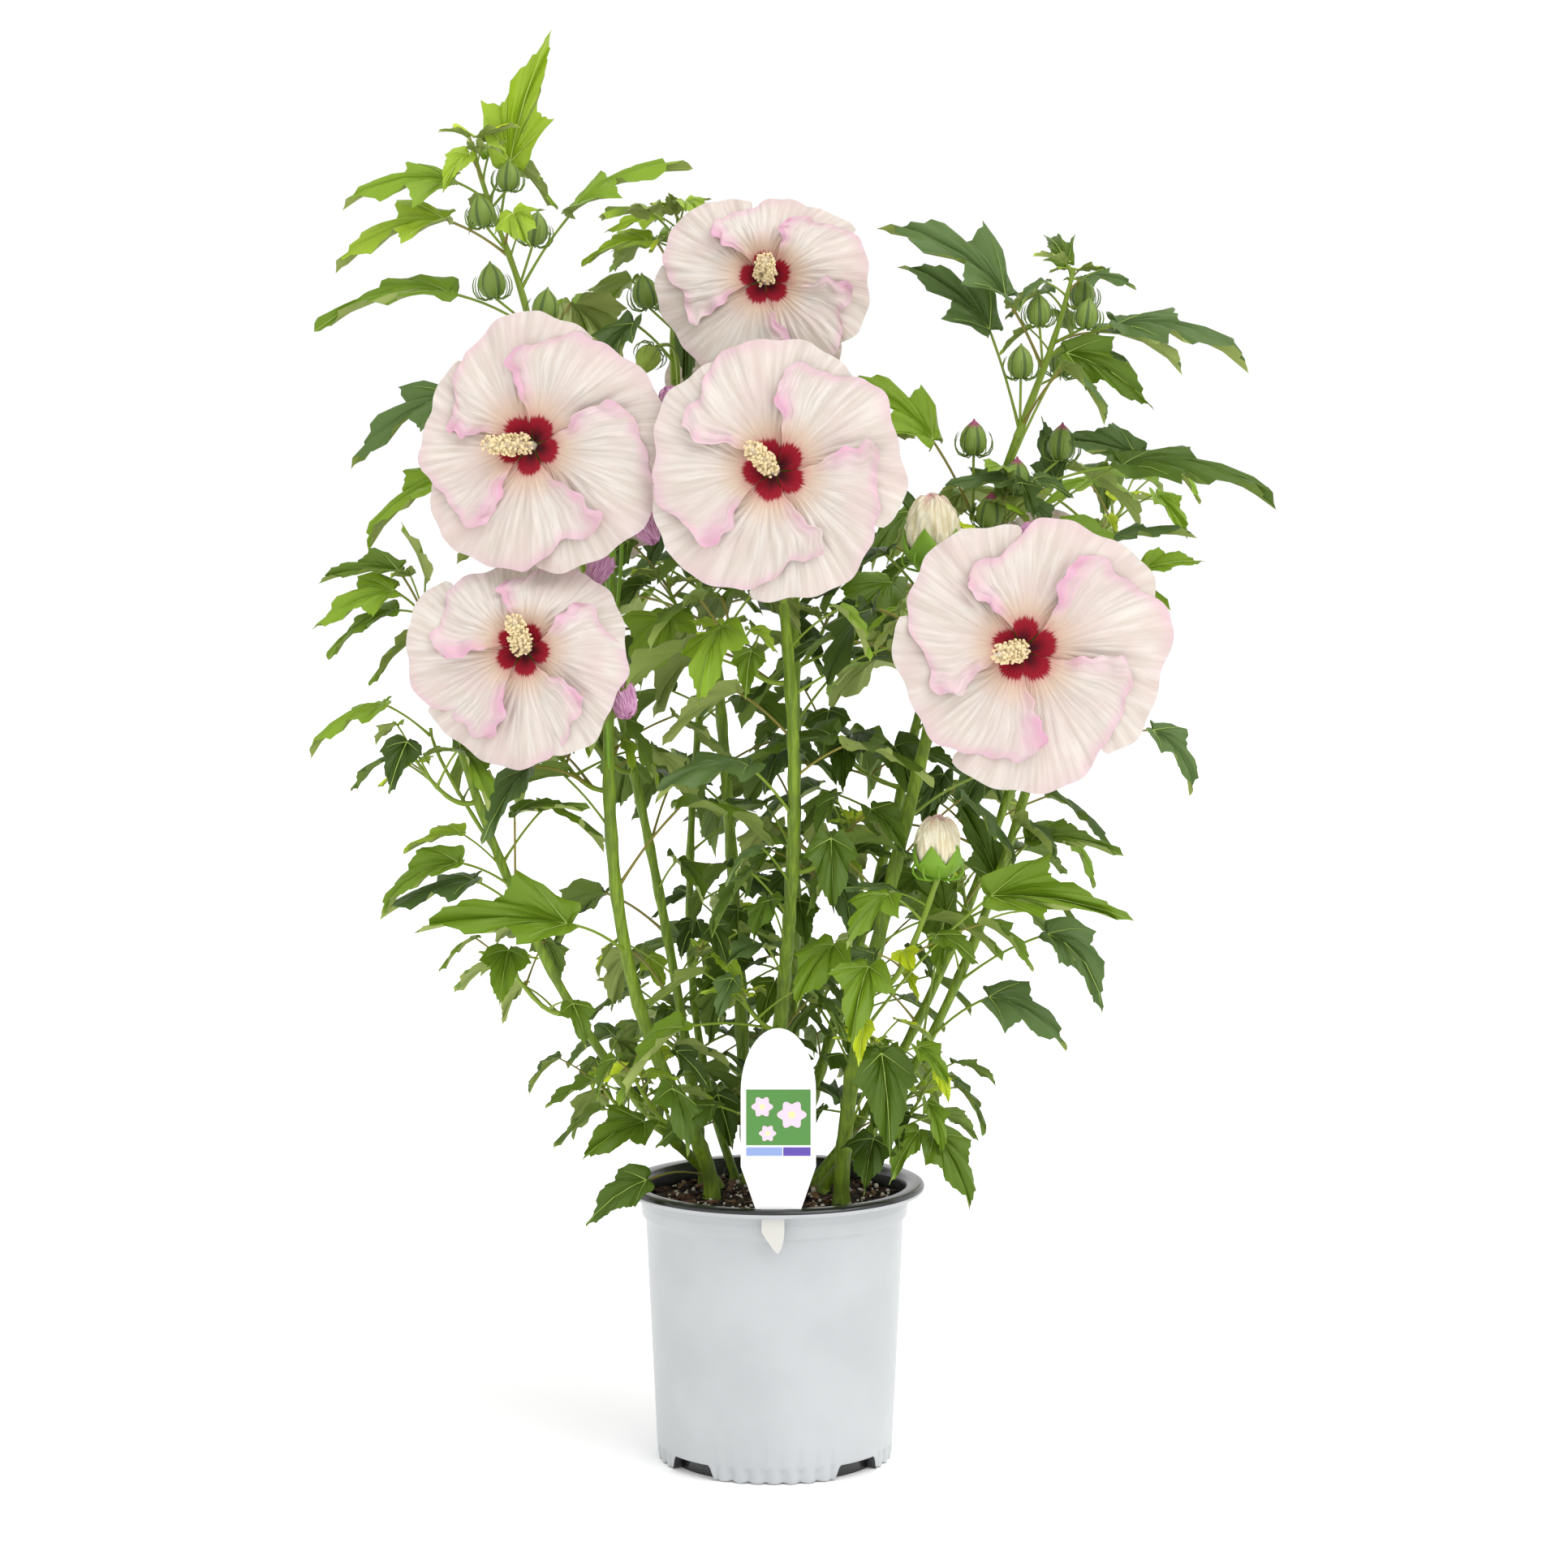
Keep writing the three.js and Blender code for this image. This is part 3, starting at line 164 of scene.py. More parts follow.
BUD_KEYS = ("at", "side", "rise", "stalk", "size")
TOP_LEAF_PITCH = 84
TOPS = [
    dict(
        name="left_crest", on="left_top", apex=(-229, 0, 1012),
        leaves=rows(LEAF_KEYS, [
            (0.03, 186, 23, 66, 106, 6, -22), (0.22, 5, 56, 71, 98, 43, 12), (0.4, 176, 30, 55, 95, -2, -28),
            (0.55, 20, 80, 51, 94, TOP_LEAF_PITCH, 68), (0.69, 184, 30, 33, 86, 8, -38),
            (0.8, 80, 50, 26, 62, 20, 0), (0.9, 300, 45, 12, 44, 10, 0),
        ]),
        buds=rows(BUD_KEYS, [
            (0.04, 196, 34, 37, 22), (0.10, 311, -19, 22, 22), (0.24, 325, 67, 34, 21),
            (0.42, 211, 39, 31, 20), (0.66, 282, 37, 22, 19), (0.76, 213, 18, 24, 18),
            (0.82, 60, 19, 17, 17), (0.99, 259, 68, 5, 14),
        ]),
    ),
    dict(
        name="right_crest", on="right_top", apex=(228, 10, 918),
        leaves=rows(LEAF_KEYS, [
            (0.03, 172, 73, 81, 86, 56, -55), (0.06, 345, 44, 62, 74, -8, -40),
            (0.4, 178, 61, 63, 117, 50, -45), (0.48, 356, 25, 58, 108, 4, 16),
            (0.56, 28, 12, 44, 84, 2, 20), (0.76, 165, 40, 22, 58, 8, -20),
            (0.86, 330, 40, 16, 46, 10, 20), (0.94, 110, 55, 14, 48, 50, -40),
        ]),
        buds=rows(BUD_KEYS, [
            (0.03, 268, 69, 44, 21), (0.22, 289, 18, 20, 22), (0.40, 234, 70, 36, 20), (0.30, 15, 16, 33, 22),
            (0.78, 274, 1, 19, 20), (0.56, 340, 21, 32, 19), (0.80, 15, 3, 23, 17), (0.97, 180, 90, 7, 14),
        ]),
    ),
    dict(
        name="mid_crest", on="mid_top", apex=(-75, 72, 960),
        leaves=rows(LEAF_KEYS, [
            (0.1, 190, 34, 52, 84, -28, -20), (0.3, 75, 40, 62, 92, 0, 0), (0.46, 222, 30, 36, 104, -44, -15),
            (0.62, 120, 45, 44, 82, 6, -30), (0.8, 186, 20, 24, 56, 0, -35), (0.93, 150, 35, 16, 50, 12, -30),
        ]),
        buds=rows(BUD_KEYS, [(0.30, 217, 36, 29, 22), (0.74, 196, 35, 20, 21), (0.97, 289, 17, 7, 18)]),
    ),
]
STUBS = [
    dict(
        name="left_top_outer", on="left_top", at=0.45, side=180,
        leaves=rows(LEAF_KEYS, [(0.8, 182, 40, 112, 96, -14, -30), (0.4, 174, 6, 92, 90, -16, -25)]),
        buds=rows(BUD_KEYS, []),
    ),
    dict(
        name="right_top_inner", on="right_top", at=0.5, side=180,
        leaves=rows(LEAF_KEYS, [(0.7, 176, 62, 68, 92, 54, -42)]),
        buds=rows(BUD_KEYS, [(0.8, 210, 82, 50, 22)]),
    ),
    dict(
        name="right_top_outer", on="right_top", at=0.66, side=0,
        leaves=rows(LEAF_KEYS, [(0.7, 356, 17, 88, 124, 8, 22), (0.5, 40, 20, 66, 96, -6, 10)]),
        buds=rows(BUD_KEYS, [(0.9, 4, 38, 50, 23)]),
    ),
]

# The finer growth that only the scene has: leaves straight from the stems, and young ones at the tips
FINE = dict(
    first_height=240, spacing=27, reach=1.4, petiole=(0.6, 0.95), size=(0.62, 0.98), rise=(18, 52),
    middle_half=120, side_share=0.62, pitch=(14, -26), curl=(16, 50),
    twig_leaves=5, twig_at=(0.3, 0.98), twig_size=(0.34, 0.66), twig_rise=(20, 60), twig_petiole=0.6,
)
YOUNG = dict(
    count=4, at=(0.9, 0.995), size=(16, 34), rise=(30, 75), petiole=0.35, pitch=(40, 5), curl=(20, 50),
    lobing=0.4,
)
# Leaves that were placed one by one: where the blade starts, how it lies, and its tone where it has its own
SPRAY = dict(radii=(1.8, 1.2), start=20, rise=24, leaves_from=6)
SPRAY_KEYS = ("base", "side", "blade", "pitch", "curl", "roll", "lobing")
SPRAYS = [
    dict(on="left_low", at=0.93, to=(-263, -52, 662), leaves=rows(SPRAY_KEYS, [
        ((-281, -60, 690), 182, 60, 4, 22, -22, 0.2), ((-284, -66, 675), 188, 66, -6, 40, -40, 0.5),
        ((-285, -58, 660), 184, 62, -14, 44, -18, 0.6), ((-268, -46, 640), 196, 52, -30, 30, 30, 0.3),
        ((-262, -50, 684), 150, 46, 72, 24, 40, 0.2), ((-272, -62, 686), 240, 26, 20, 40, 30, 0.2),
    ])),
    dict(on="left_low", at=0.86, to=(-258, -62, 572), leaves=rows(SPRAY_KEYS, [
        ((-292, -66, 590), 184, 70, -10, 46, -3, 0.1),
    ])),
]
SINGLE_KEYS = ("on", "at", *SPRAY_KEYS, "tone")
# A tone of 6 or 7 is a dark green of painted shade.
SINGLES = rows(SINGLE_KEYS, [
    ("left_tall", 0.66, (-154, -100, 429), 186, 112, 9, 20, -52, 0.6, 1),
    ("left_low", 0.84, (-236, -84, 473), 184, 70, -8, 50, -34, 0.3, 1),
    ("left_low", 0.86, (-235, -66, 493), 185, 46, -2, 30, -24, 0.2, 3),
    ("left_low", 0.83, (-194, -80, 509), 350, 58, 20, 30, 14, 0.7, 0),
    ("left_low", 0.8, (-225, -70, 458), 184, 76, -8, 24, -12, 0.2, 5),
    ("left_low", 0.12, (-97, -66, 229), 182, 57, -20, 36, -40, 0.1, 7),
    ("right_main", 0.43, (161, -96, 449), 356, 106, 3, 24, 50, 1.0, 1),
    ("right_low", 0.84, (193, -60, 487), 355, 70, 7, 30, 20, 0.6, 0),
    ("right_low", 0.72, (206, -60, 416), 342, 74, -20, 68, 36, 0.5, 5),
    ("right_low", 0.62, (162, -60, 368), 352, 72, -8, 50, 36, 0.4, 5),
    ("right_low", 0.76, (170, -20, 452), 170, 68, 70, 14, -75, 0.6, 7),
    ("right_low", 0.6, (130, -20, 424), 180, 58, 72, 14, -70, 0.6, 0),
    ("right_low", 0.97, (281, -88, 572), 350, 58, -28, 60, 30, 0.2, 5),
    ("right_main", 0.16, (80, -90, 330), 285, 76, -58, 30, 0, 0.3, 7),
    ("right_low", 0.3, (121, -50, 262), 330, 64, -44, 30, 26, 0.2, 0),
    ("right_low", 0.26, (110, -50, 264), 205, 46, -46, 24, -30, 0.3, 1),
    ("right_top", 0.15, (284, 0, 690), 358, 44, 16, 20, 45, 0.1, 2),
    ("right_top", 0.2, (256, 8, 712), 356, 66, 14, 20, 10, 0.4, 5),
    ("right_top", 0.3, (183, -6, 757), 182, 58, 4, 22, -18, 0.2, 5),
    ("right_top", 0.35, (216, 34, 756), 120, 52, 76, 10, -70, 0.5, 5),
    ("right_top", 0.55, (221, -10, 853), 356, 78, -16, 34, 55, 0.6, 0),
    ("right_top", 0.2, (278, 24, 776), 180, 70, 20, 18, -48, 0.5, 5),
])
# The top leaf as it is drawn
TOP_BLADE = dict(blade=101, pitch=80, curl=16, side=5, roll=76)
# Lower leaves are drawn a little smaller, most of all where the sky shows between them
LOW_BLADE = dict(open=0.64, shut=0.9, height=560)
# Where the sky shows between the leaves: from and to in X, then in Z. A leaf counts by its middle.
BLADE_MIDDLE = 0.45
OPENINGS = [
    (-400, -290, 520, 602), (-290, -216, 445, 532), (-217, -142, 200, 378), (-141, -67, 378, 453),
    (156, 231, 378, 453), (303, 400, 660, 752), (82, 156, 303, 378), (231, 320, 378, 453),
    (128, 240, 200, 334),
]
# How far the view of the full buds stays free of finer leaves, and how far behind them
BUD_VIEW = dict(radius=31, behind=6)
# Ripe buds with pink tips, on the boughs
RIPE_BUDS = rows(("on", "at", "side", "rise", "stalk", "size"), [
    ("right_top", 0.62, 330, 18, 18, 23),
    ("right_top", 0.42, 285, 35, 16, 22),
    ("left_top", 0.9, 300, 20, 16, 22),
])
# Spent flowers, rolled up again, that show between the blooms
SPENT = rows(("on", "at", "place", "axis", "length", "radius"), [
    ("left_tall", 0.95, (-128, -100, 694), (-0.5, -0.2, -1), 30, 9),
    ("left_tall", 0.97, (-96, -106, 726), (0.5, -0.3, -0.9), 34, 9),
    ("left_tall", 0.86, (-112, -118, 600), (0.3, -0.2, -1), 34, 10),
    ("mid_top", 0.5, (-74, -104, 812), (-0.4, -0.2, 1), 28, 9),
    ("centre_back", 0.93, (62, -16, 812), (0.4, -0.2, 1), 26, 8),
    ("right_main", 0.97, (190, -90, 712), (0.2, -0.2, 1), 28, 11),
])
NODDING = dict(
    on="mid_top", at=0.75, top=(-74, 44, 866), place=(-92, 16, 858), axis=(-0.45, -0.35, -0.85), radius=9,
    height=24, groove=0.08, bract_length=15,
)


# Numbers and vectors
def draws(seed):
    state = seed

    def draw():
        nonlocal state
        state = state * 16807 % 2147483647
        return state / 2147483647

    return draw


def vec(values):
    return np.array(values, float)


def unit(v):
    return v / np.linalg.norm(v)


def mix(a, b, t):
    return a + (b - a) * t


def span(first, last, k, count):
    return mix(first, last, k / (count - 1)) if count > 1 else first


def smooth(low, high, x):
    t = np.clip((x - low) / (high - low), 0, 1)
    return t * t * (3 - 2 * t)


def heading(azimuth, rise):
    a, r = math.radians(azimuth), math.radians(rise)
    return vec((math.cos(r) * math.cos(a), math.cos(r) * math.sin(a), math.sin(r)))


def path_point(path, t):
    s = 1 - np.asarray(t, float)[..., None]
    t = 1 - s
    return path[0] * s**3 + path[1] * 3 * s * s * t + path[2] * 3 * s * t * t + path[3] * t**3


def path_direction(path, t):
    s = 1 - t
    a, b, c, d = path
    return unit(a * -s * s + b * (s * s - 2 * s * t) + c * (2 * s * t - t * t) + d * t * t)


def straight(start, end):
    return vec([mix(start, end, t) for t in (0, 1 / 3, 2 / 3, 1)])


# Limbs: a cubic path, radii at its ends, and how many straight steps the solid has
limbs = {}
joints_on = {}


def axis_at(limb, at):
    step = min(limb["steps"] - 1, math.floor(at * limb["steps"]))
    start = path_point(limb["path"], step / limb["steps"])
    end = path_point(limb["path"], (step + 1) / limb["steps"])
    return mix(start, end, at * limb["steps"] - step), unit(end - start)


def root_on(name, at=None, side=None):
    limb = limbs[name]
    if at is None:
        direction = path_direction(limb["path"], 1)
        return limb["path"][3] + direction * GAP, direction
    joints_on[name].append(at)
    point, direction = axis_at(limb, at)
    flat = heading(side, 0)
    out = unit(flat - direction * flat.dot(direction))
    return point + out * (mix(*limb["radii"], at) + GAP), out


def twig_from(root, end, radii):
    point, direction = root
    length = np.linalg.norm(end - point)
    last = unit(mix(unit(end - point), UP, TWIG["bend"]))
    bend = TWIG["bend"] * length
    path = vec([point, point + direction * bend, end - last * bend, end])
    return dict(path=path, radii=radii, steps=TWIG_STEPS)


# Room: points of what already stands, each with the reach around it that stays free
class Room:
    def __init__(self):
        self.rows = np.zeros((400000, 4))
        self.count = 0

    def claim(self, samples):
        self.rows[self.count:self.count + len(samples)] = samples
        self.count += len(samples)

    def is_taken(self, samples):
        rows = self.rows[:self.count]
        most = 20 + samples[:, 3].max()
        low, high = samples[:, :3].min(0) - most, samples[:, :3].max(0) + most
        near = rows[((rows[:, :3] > low) & (rows[:, :3] < high)).all(1)]
        if not len(near):
            return False
        apart = samples[:, None, :3] - near[None, :, :3]
        limit = samples[:, None, 3] + near[None, :, 3]
        return bool(((apart**2).sum(2) < limit**2).any())


room = Room()


def with_reach(points, reach):
    points = np.atleast_2d(points)
    return np.column_stack([points, np.broadcast_to(reach, len(points))])


def is_outside(points):
    x, y, z = points.T
    reach = np.interp(z, [low for low, _ in CROWN], [wide for _, wide in CROWN], left=0, right=0)
    outside = (np.hypot(x, (y - CROWN_MIDDLE_Y) / CROWN_DEPTH) > reach) | (y < FOLIAGE_FRONT)
    by_tag = np.abs(x - TAG["x"]) < TAG["width"] / 2 + FREE["tag_side"]
    outside |= by_tag & (z < TAG["top"] + FREE["tag_above"]) & (y < TAG["y"] + FREE["tag_behind"])
    outside |= (np.hypot(x, y) < POT["lip"] + FREE["lip"]) & (z < POT["height"] + FREE["lip"])
    for bloom in BLOOMS:
        ex, ey, ez = bloom["eye"]
        front = bloom["face"][0] > 180
        ahead = ey - y if front else y - ey
        before = (ahead > -FREE["bloom_behind"]) & (front | (ahead < FREE["rear_view"]))
        outside |= before & (np.hypot(x - ex, z - ez) < bloom["radius"] + FREE["bloom_side"])
    return bool(outside.any())


def has_room(samples):
    return not is_outside(samples[:, :3]) and not room.is_taken(samples)


def limb_samples(limb, free=0):
    length = np.linalg.norm(limb["path"][0] - limb["path"][3])
    steps = math.ceil(length * LIMB_SLACK / LIMB_SAMPLE)
    t = np.arange(steps + 1) / steps
    reach = mix(limb["radii"][0], limb["radii"][1], t) + LIMB_SAMPLE / 2
    return with_reach(path_point(limb["path"], t), reach)[t * length >= free]


# Leaves in the rule: where a leaf stands, and the points by which its room is tested
def leaf_frame(leaf):
    aim = heading(leaf.get("along", leaf["side"]), leaf["rise"])
    flat = heading(leaf["side"], 0)
    left = vec((-flat[1], flat[0], 0))
    return aim, flat, left, leaf["root"] + aim * leaf["petiole"]


def blade_points(leaf, forward, left, height):
    _, flat, side, base = leaf_frame(leaf)
    pitch, curl, roll = (math.radians(leaf.get(key, 0)) for key in ("pitch", "curl", "roll"))
    left, height = (
        np.asarray(left) * math.cos(roll) - height * math.sin(roll),
        np.asarray(left) * math.sin(roll) + height * math.cos(roll),
    )
    angle = pitch - curl * forward
    ahead = (math.sin(pitch) - np.sin(angle)) / curl - np.sin(angle) * height
    rise = (np.cos(angle) - math.cos(pitch)) / curl + np.cos(angle) * height
    return base + leaf["blade"] * (
        flat * np.asarray(ahead)[..., None] + UP * np.asarray(rise)[..., None] + side * left[..., None]
    )


def rough_outline(leaf):
    lobe_at, lobe_width, notch_at, notch_width = (
        mix(*LEAF[key], leaf["lobing"]) for key in ("lobe_at", "lobe_width", "notch_at", "notch_width")
    )
    forward = vec((lobe_at, notch_at, 1, notch_at, lobe_at))
    left = vec((-lobe_width, -notch_width, 0, notch_width, lobe_width))
    return blade_points(leaf, forward, left, LEAF["fold"] * np.abs(left))


def leaf_samples(leaf, reach=LEAF_REACH, free=ROOT_FREE):
    aim, _, _, base = leaf_frame(leaf)
    steps = math.ceil(leaf["petiole"] / LIMB_SAMPLE)
    lengths = leaf["petiole"] * np.arange(steps + 1) / steps
    lengths = lengths[lengths >= free]
    slim = reach / LEAF_REACH * LIMB_SAMPLE / 2
    samples = [with_reach(leaf["root"] + aim * lengths[:, None], LEAF["petiole_radius"] + slim)]
    middle = blade_points(leaf, LEAF["middle"], 0, 0)
    outline = [base, *rough_outline(leaf), base]
    for one, two in zip(outline, outline[1:]):
        longest = max(np.linalg.norm(d) for d in (one - two, two - middle, middle - one))
        parts = math.ceil(longest / SAMPLE)
        j, k = (grid.ravel() / parts for grid in np.mgrid[0:parts + 1, 0:parts + 1])
        j, k = j[j + k < 1 + 1e-9], k[j + k < 1 + 1e-9]
        weights = np.column_stack([1 - j - k, j, k])
        samples.append(with_reach(weights @ vec([middle, one, two]), reach))
    return np.concatenate(samples)


def place_leaf(leaf, reach=LEAF_REACH):
    for i, turn in enumerate(TRIES):
        tried = dict(leaf)
        tried["side"] = leaf["side"] + turn
        tried["pitch"] = leaf["pitch"] - TRY_DROOP * i
        tried["blade"] = leaf["blade"] * (1 - TRY_SHRINK * i)
        samples = leaf_samples(tried, reach)
        if has_room(samples):
            room.claim(samples)
            return tried
    return None


def bud_limb(bud):
    end = bud["root"] + heading(bud["side"], bud["rise"]) * bud["stalk"]
    return dict(path=straight(bud["root"], end), radii=(BUD["stalk_radius"],) * 2, steps=1)


def bud_samples(bud):
    limb = bud_limb(bud)
    middle = limb["path"][3] + UP * (bud["height"] / 2 - BUD["sunk"])
    rings = [middle + UP * bud["height"] * share for share in (-0.3, 0.3)]
    return np.concatenate([limb_samples(limb, ROOT_FREE), with_reach(rings, bud["size"] / 2 + BUD["reach"])])


def place_bud(bud):
    for turn in TRIES:
        tried = dict(bud, side=bud["side"] + turn)
        samples = bud_samples(tried)
        if has_room(samples):
            room.claim(samples)
            return tried
    return None


def blade_at(height, share):
    grown = (height - SOIL["top"]) / (BLADE["full_height"] - SOIL["top"])
    return mix(BLADE["low"], BLADE["high"], min(1, max(0, grown))) * share


def twig_leaves(twig, count, side, random):
    leaves = []
    spread = lambda width: width * (random() - 0.5)
    for k in range(count):
        root = axis_at(twig, span(*TWIG_LEAF["at"], k, count))[0]
        size = span(*TWIG_LEAF["size"], k, count) * (1 + spread(TWIG_LEAF["size_spread"]))
        blade = blade_at(root[2], size)
        fan = span(*TWIG_LEAF["fan"], k, count) * (1 if k % 2 else -1)
        leaves.append(dict(
            root=root,
            side=side + fan + spread(TWIG_LEAF["fan_spread"]),
            rise=span(*TWIG_LEAF["rise"], k, count) + spread(TWIG_LEAF["rise_spread"]),
            petiole=blade * mix(*TWIG_LEAF["petiole"], random()),
            blade=blade,
            pitch=mix(*TWIG_LEAF["pitch"], random()),
            curl=mix(*TWIG_LEAF["curl"], random()),
            lobing=mix(*TWIG_LEAF["lobing"], random()),
        ))
    return leaves


# The plant grows in the same order as the solids, so that each leaf finds the same room
twigs, leaves, buds, full_buds, stalks = [], [], [], [], []


def grow_mass(name, twig, mass_leaves, mass_buds):
    twigs.append(dict(twig, name=name))
    for leaf in mass_leaves:
        placed = place_leaf(leaf)
        if placed:
            leaves.append(placed)
    for bud in mass_buds:
        placed = place_bud(bud)
        if placed:
            buds.append(placed)


def bloom_frame(bloom):
    out = heading(*bloom["face"])
    right = unit(np.cross(UP, out))
    return dict(eye=vec(bloom["eye"]), out=out, right=right, above=np.cross(out, right))


def bloom_points(bloom, axes, share, angle, lift):
    radius = share * bloom["radius"]
    turned = np.radians(bloom["spin"] + angle)
    hollow = -BLOOM["throat"] * np.maximum(0, 1 - share) ** 4 - BLOOM["reflex"] * share**3
    return (
        axes["eye"]
        + axes["right"] * (radius * np.cos(turned))[..., None]
        + axes["above"] * (radius * np.sin(turned))[..., None]
        + axes["out"] * (hollow + lift)[..., None]
    )


def bloom_stalk(bloom, axes):
    point, direction = root_on(bloom["on"], bloom.get("at"), bloom.get("side"))
    end = axes["eye"] + axes["out"] * (BLOOM["stalk_sunk"] - BLOOM["throat"] - BLOOM["calyx_length"])
    third = np.linalg.norm(end - point) / 3
    path = vec([point, point + direction * third, end - axes["out"] * third, end])
    return dict(path=path, radii=(BLOOM["stalk_radius"],) * 2, steps=BLOOM["stalk_steps"])


def petal_samples(bloom, axes):
    samples = []
    rings = math.ceil(bloom["radius"] / SAMPLE)
    for i in range(1, rings + 1):
        count = math.ceil(2 * math.pi * (i / rings) * bloom["radius"] / SAMPLE)
        angles = 360 * np.arange(count) / count
        lift = np.full(count, BLOOM["overlap"] / 2)
        samples.append(bloom_points(bloom, axes, np.full(count, i / rings), angles, lift))
    return with_reach(np.concatenate(samples), LEAF_REACH + BLOOM["overlap"] / 2)


def grow_limbs():
    for stem in STEMS:
        ground = vec((*stem["foot"], SOIL["top"] + GAP))
        path = vec([ground, ground + UP * stem["rise"], stem["shoulder"], stem["tip"]])
        limbs[stem["name"]] = dict(path=path, radii=[w / 2 for w in stem["wide"]], steps=STEM_STEPS)
        joints_on[stem["name"]] = []
    for bough in BOUGHS:
        point, direction = root_on(bough["on"])
        third = np.linalg.norm(vec(bough["tip"]) - point) / 3
        path = vec([point, point + direction * third, bough["shoulder"], bough["tip"]])
        limbs[bough["name"]] = dict(path=path, radii=[w / 2 for w in bough["wide"]], steps=STEM_STEPS)
        joints_on[bough["name"]] = []
    for limb in limbs.values():
        room.claim(limb_samples(limb))


def grow_blooms():
    for bloom in BLOOMS:
        axes = bloom_frame(bloom)
        stalk = bloom_stalk(bloom, axes)
        stalks.append(stalk)
        room.claim(petal_samples(bloom, axes))
        room.claim(limb_samples(stalk))
        cup = axes["eye"] - axes["out"] * (BLOOM["throat"] + BLOOM["calyx_band"])
        room.claim(with_reach(cup, BLOOM["calyx_radius"]))


def grow_tops():
    for top in TOPS:
        radii = (limbs[top["on"]]["radii"][1], TWIG_RADII["crest"])
        grow_top(top, twig_from(root_on(top["on"]), vec(top["apex"]), radii))
    for stub in STUBS:
        root = root_on(stub["on"], stub["at"], stub["side"])
        grow_top(stub, twig_from(root, root[0] + root[1] * STUB_LENGTH, TWIG_RADII["stub"]))


def grow_top(top, twig):
    """A budded top or a spur: only the buds on spurs have ripened."""
    room.claim(limb_samples(twig))
    top_leaves = [dict(row, **TOP_LEAF, root=axis_at(twig, row["at"])[0]) for row in top["leaves"]]
    is_ripe = "apex" not in top
    top_buds = [
        dict(row, root=axis_at(twig, row["at"])[0], height=row["size"] * BUD["tall"], is_ripe=is_ripe)
        for row in top["buds"]
    ]
    grow_mass(top["name"], twig, top_leaves, top_buds)


def grow_bud_twigs():
    for index, row in enumerate(BUD_TWIGS):
        twig = twig_from(root_on(row["on"], row["at"], row["side"]), vec(row["to"]), TWIG_RADII["bud"])
        room.claim(limb_samples(twig))
        bud = dict(FULL_BUD, root=vec(row["to"]) - UP * FULL_BUD["stalk"], side=0, rise=90)
        room.claim(bud_samples(bud))
        full_buds.append(bud)
        mass = twig_leaves(twig, BUD_TWIG_LEAVES, row["side"], draws(SEED + 11 * index))
        grow_mass(row["name"], twig, [dict(leaf, lobing=BUD_TWIG_LOBING) for leaf in mass], [])


def grow_tips():
    tips = []
    for row in TIP_TWIGS:
        radii = (limbs[row["on"]]["radii"][1], TWIG_RADII["tip"])
        tips.append(twig_from(root_on(row["on"]), vec(row["to"]), radii))
    for twig in tips:
        room.claim(limb_samples(twig))
    for index, twig in enumerate(tips):
        random = draws(SEED + 31 * (index + 3))
        mass = twig_leaves(twig, TIP_LEAVES, 0, random)
        start = 360 * random()
        mass = [dict(leaf, side=start + TURN * k) for k, leaf in enumerate(mass)]
        grow_mass("foliage_" + TIP_TWIGS[index]["on"] + "_tip", twig, mass, [])


def free_twig(root, side, length):
    for i, turn in enumerate(TRIES):
        end = root[0] + heading(side + turn / 2, TWIG["rise"]) * length * (1 - TWIG["shrink"] * i)
        twig = twig_from(root, end, TWIG_RADII["side"])
        if has_room(limb_samples(twig, TWIG["root_free"])):
            return twig
    return twig


def grow_sides():
    for index, row in enumerate(SIDE_TWIGS):
        for k in range(row["count"]):
            random = draws(SEED + 101 * (index + 1) + 17 * k)
            side = row["side"] + row.get("turn", TURN) * k
            root = root_on(row["on"], span(row["start"], row["end"], k, row["count"]), side)
            twig = free_twig(root, side, row["length"] * mix(*SIDE_LENGTH, random()))
            room.claim(limb_samples(twig))
            name = "foliage_" + row["on"] + "_" + str(k + 1)
            grow_mass(name, twig, twig_leaves(twig, SIDE_LEAVES, side, random), [])


# Finer growth
def hides_bud(leaf):
    """Whether a leaf would stand before one of the full buds."""
    x, y, z = leaf_samples(leaf)[:, :3].T
    for bud in full_buds:
        bx, by, bz = bud["root"] + UP * bud["height"] / 2
        if ((y < by + BUD_VIEW["behind"]) & (np.hypot(x - bx, z - bz) < BUD_VIEW["radius"])).any():
            return True
    return False


def is_in_opening(leaf):
    x, _, z = blade_points(leaf, BLADE_MIDDLE, 0.0, 0.0)
    return any(left < x < right and low < z < high for left, right, low, high in OPENINGS)


def add_fine_leaf(root, side, rise, blade, petiole, random):
    """A finer leaf of the rule, where there is room for it and it hides neither a bud nor the sky."""
    placed = place_leaf(dict(
        root=root, side=side, rise=rise, blade=blade, petiole=petiole, pitch=mix(*FINE["pitch"], random()),
        curl=mix(*FINE["curl"], random()), lobing=mix(*TWIG_LEAF["lobing"], random()),
    ), FINE["reach"])
    if not placed or hides_bud(placed) or is_in_opening(placed):
        return False
    leaves.append(placed)
    return True


def grow_fine_on_limb(name, limb, random):
    steps = int(np.linalg.norm(limb["path"][3] - limb["path"][0]) / FINE["spacing"])
    turn = 360 * random()
    for k in range(1, steps):
        at = k / steps
        root = axis_at(limb, at)[0]
        turn += TURN
        is_open = abs(root[0]) > FINE["middle_half"] and random() > FINE["side_share"]
        if root[2] < FINE["first_height"] or is_open:
            continue
        blade = blade_at(root[2], mix(*FINE["size"], random()))
        petiole = blade * mix(*FINE["petiole"], random())
        if add_fine_leaf(root, turn, mix(*FINE["rise"], random()), blade, petiole, random):
            joints_on[name].append(at)


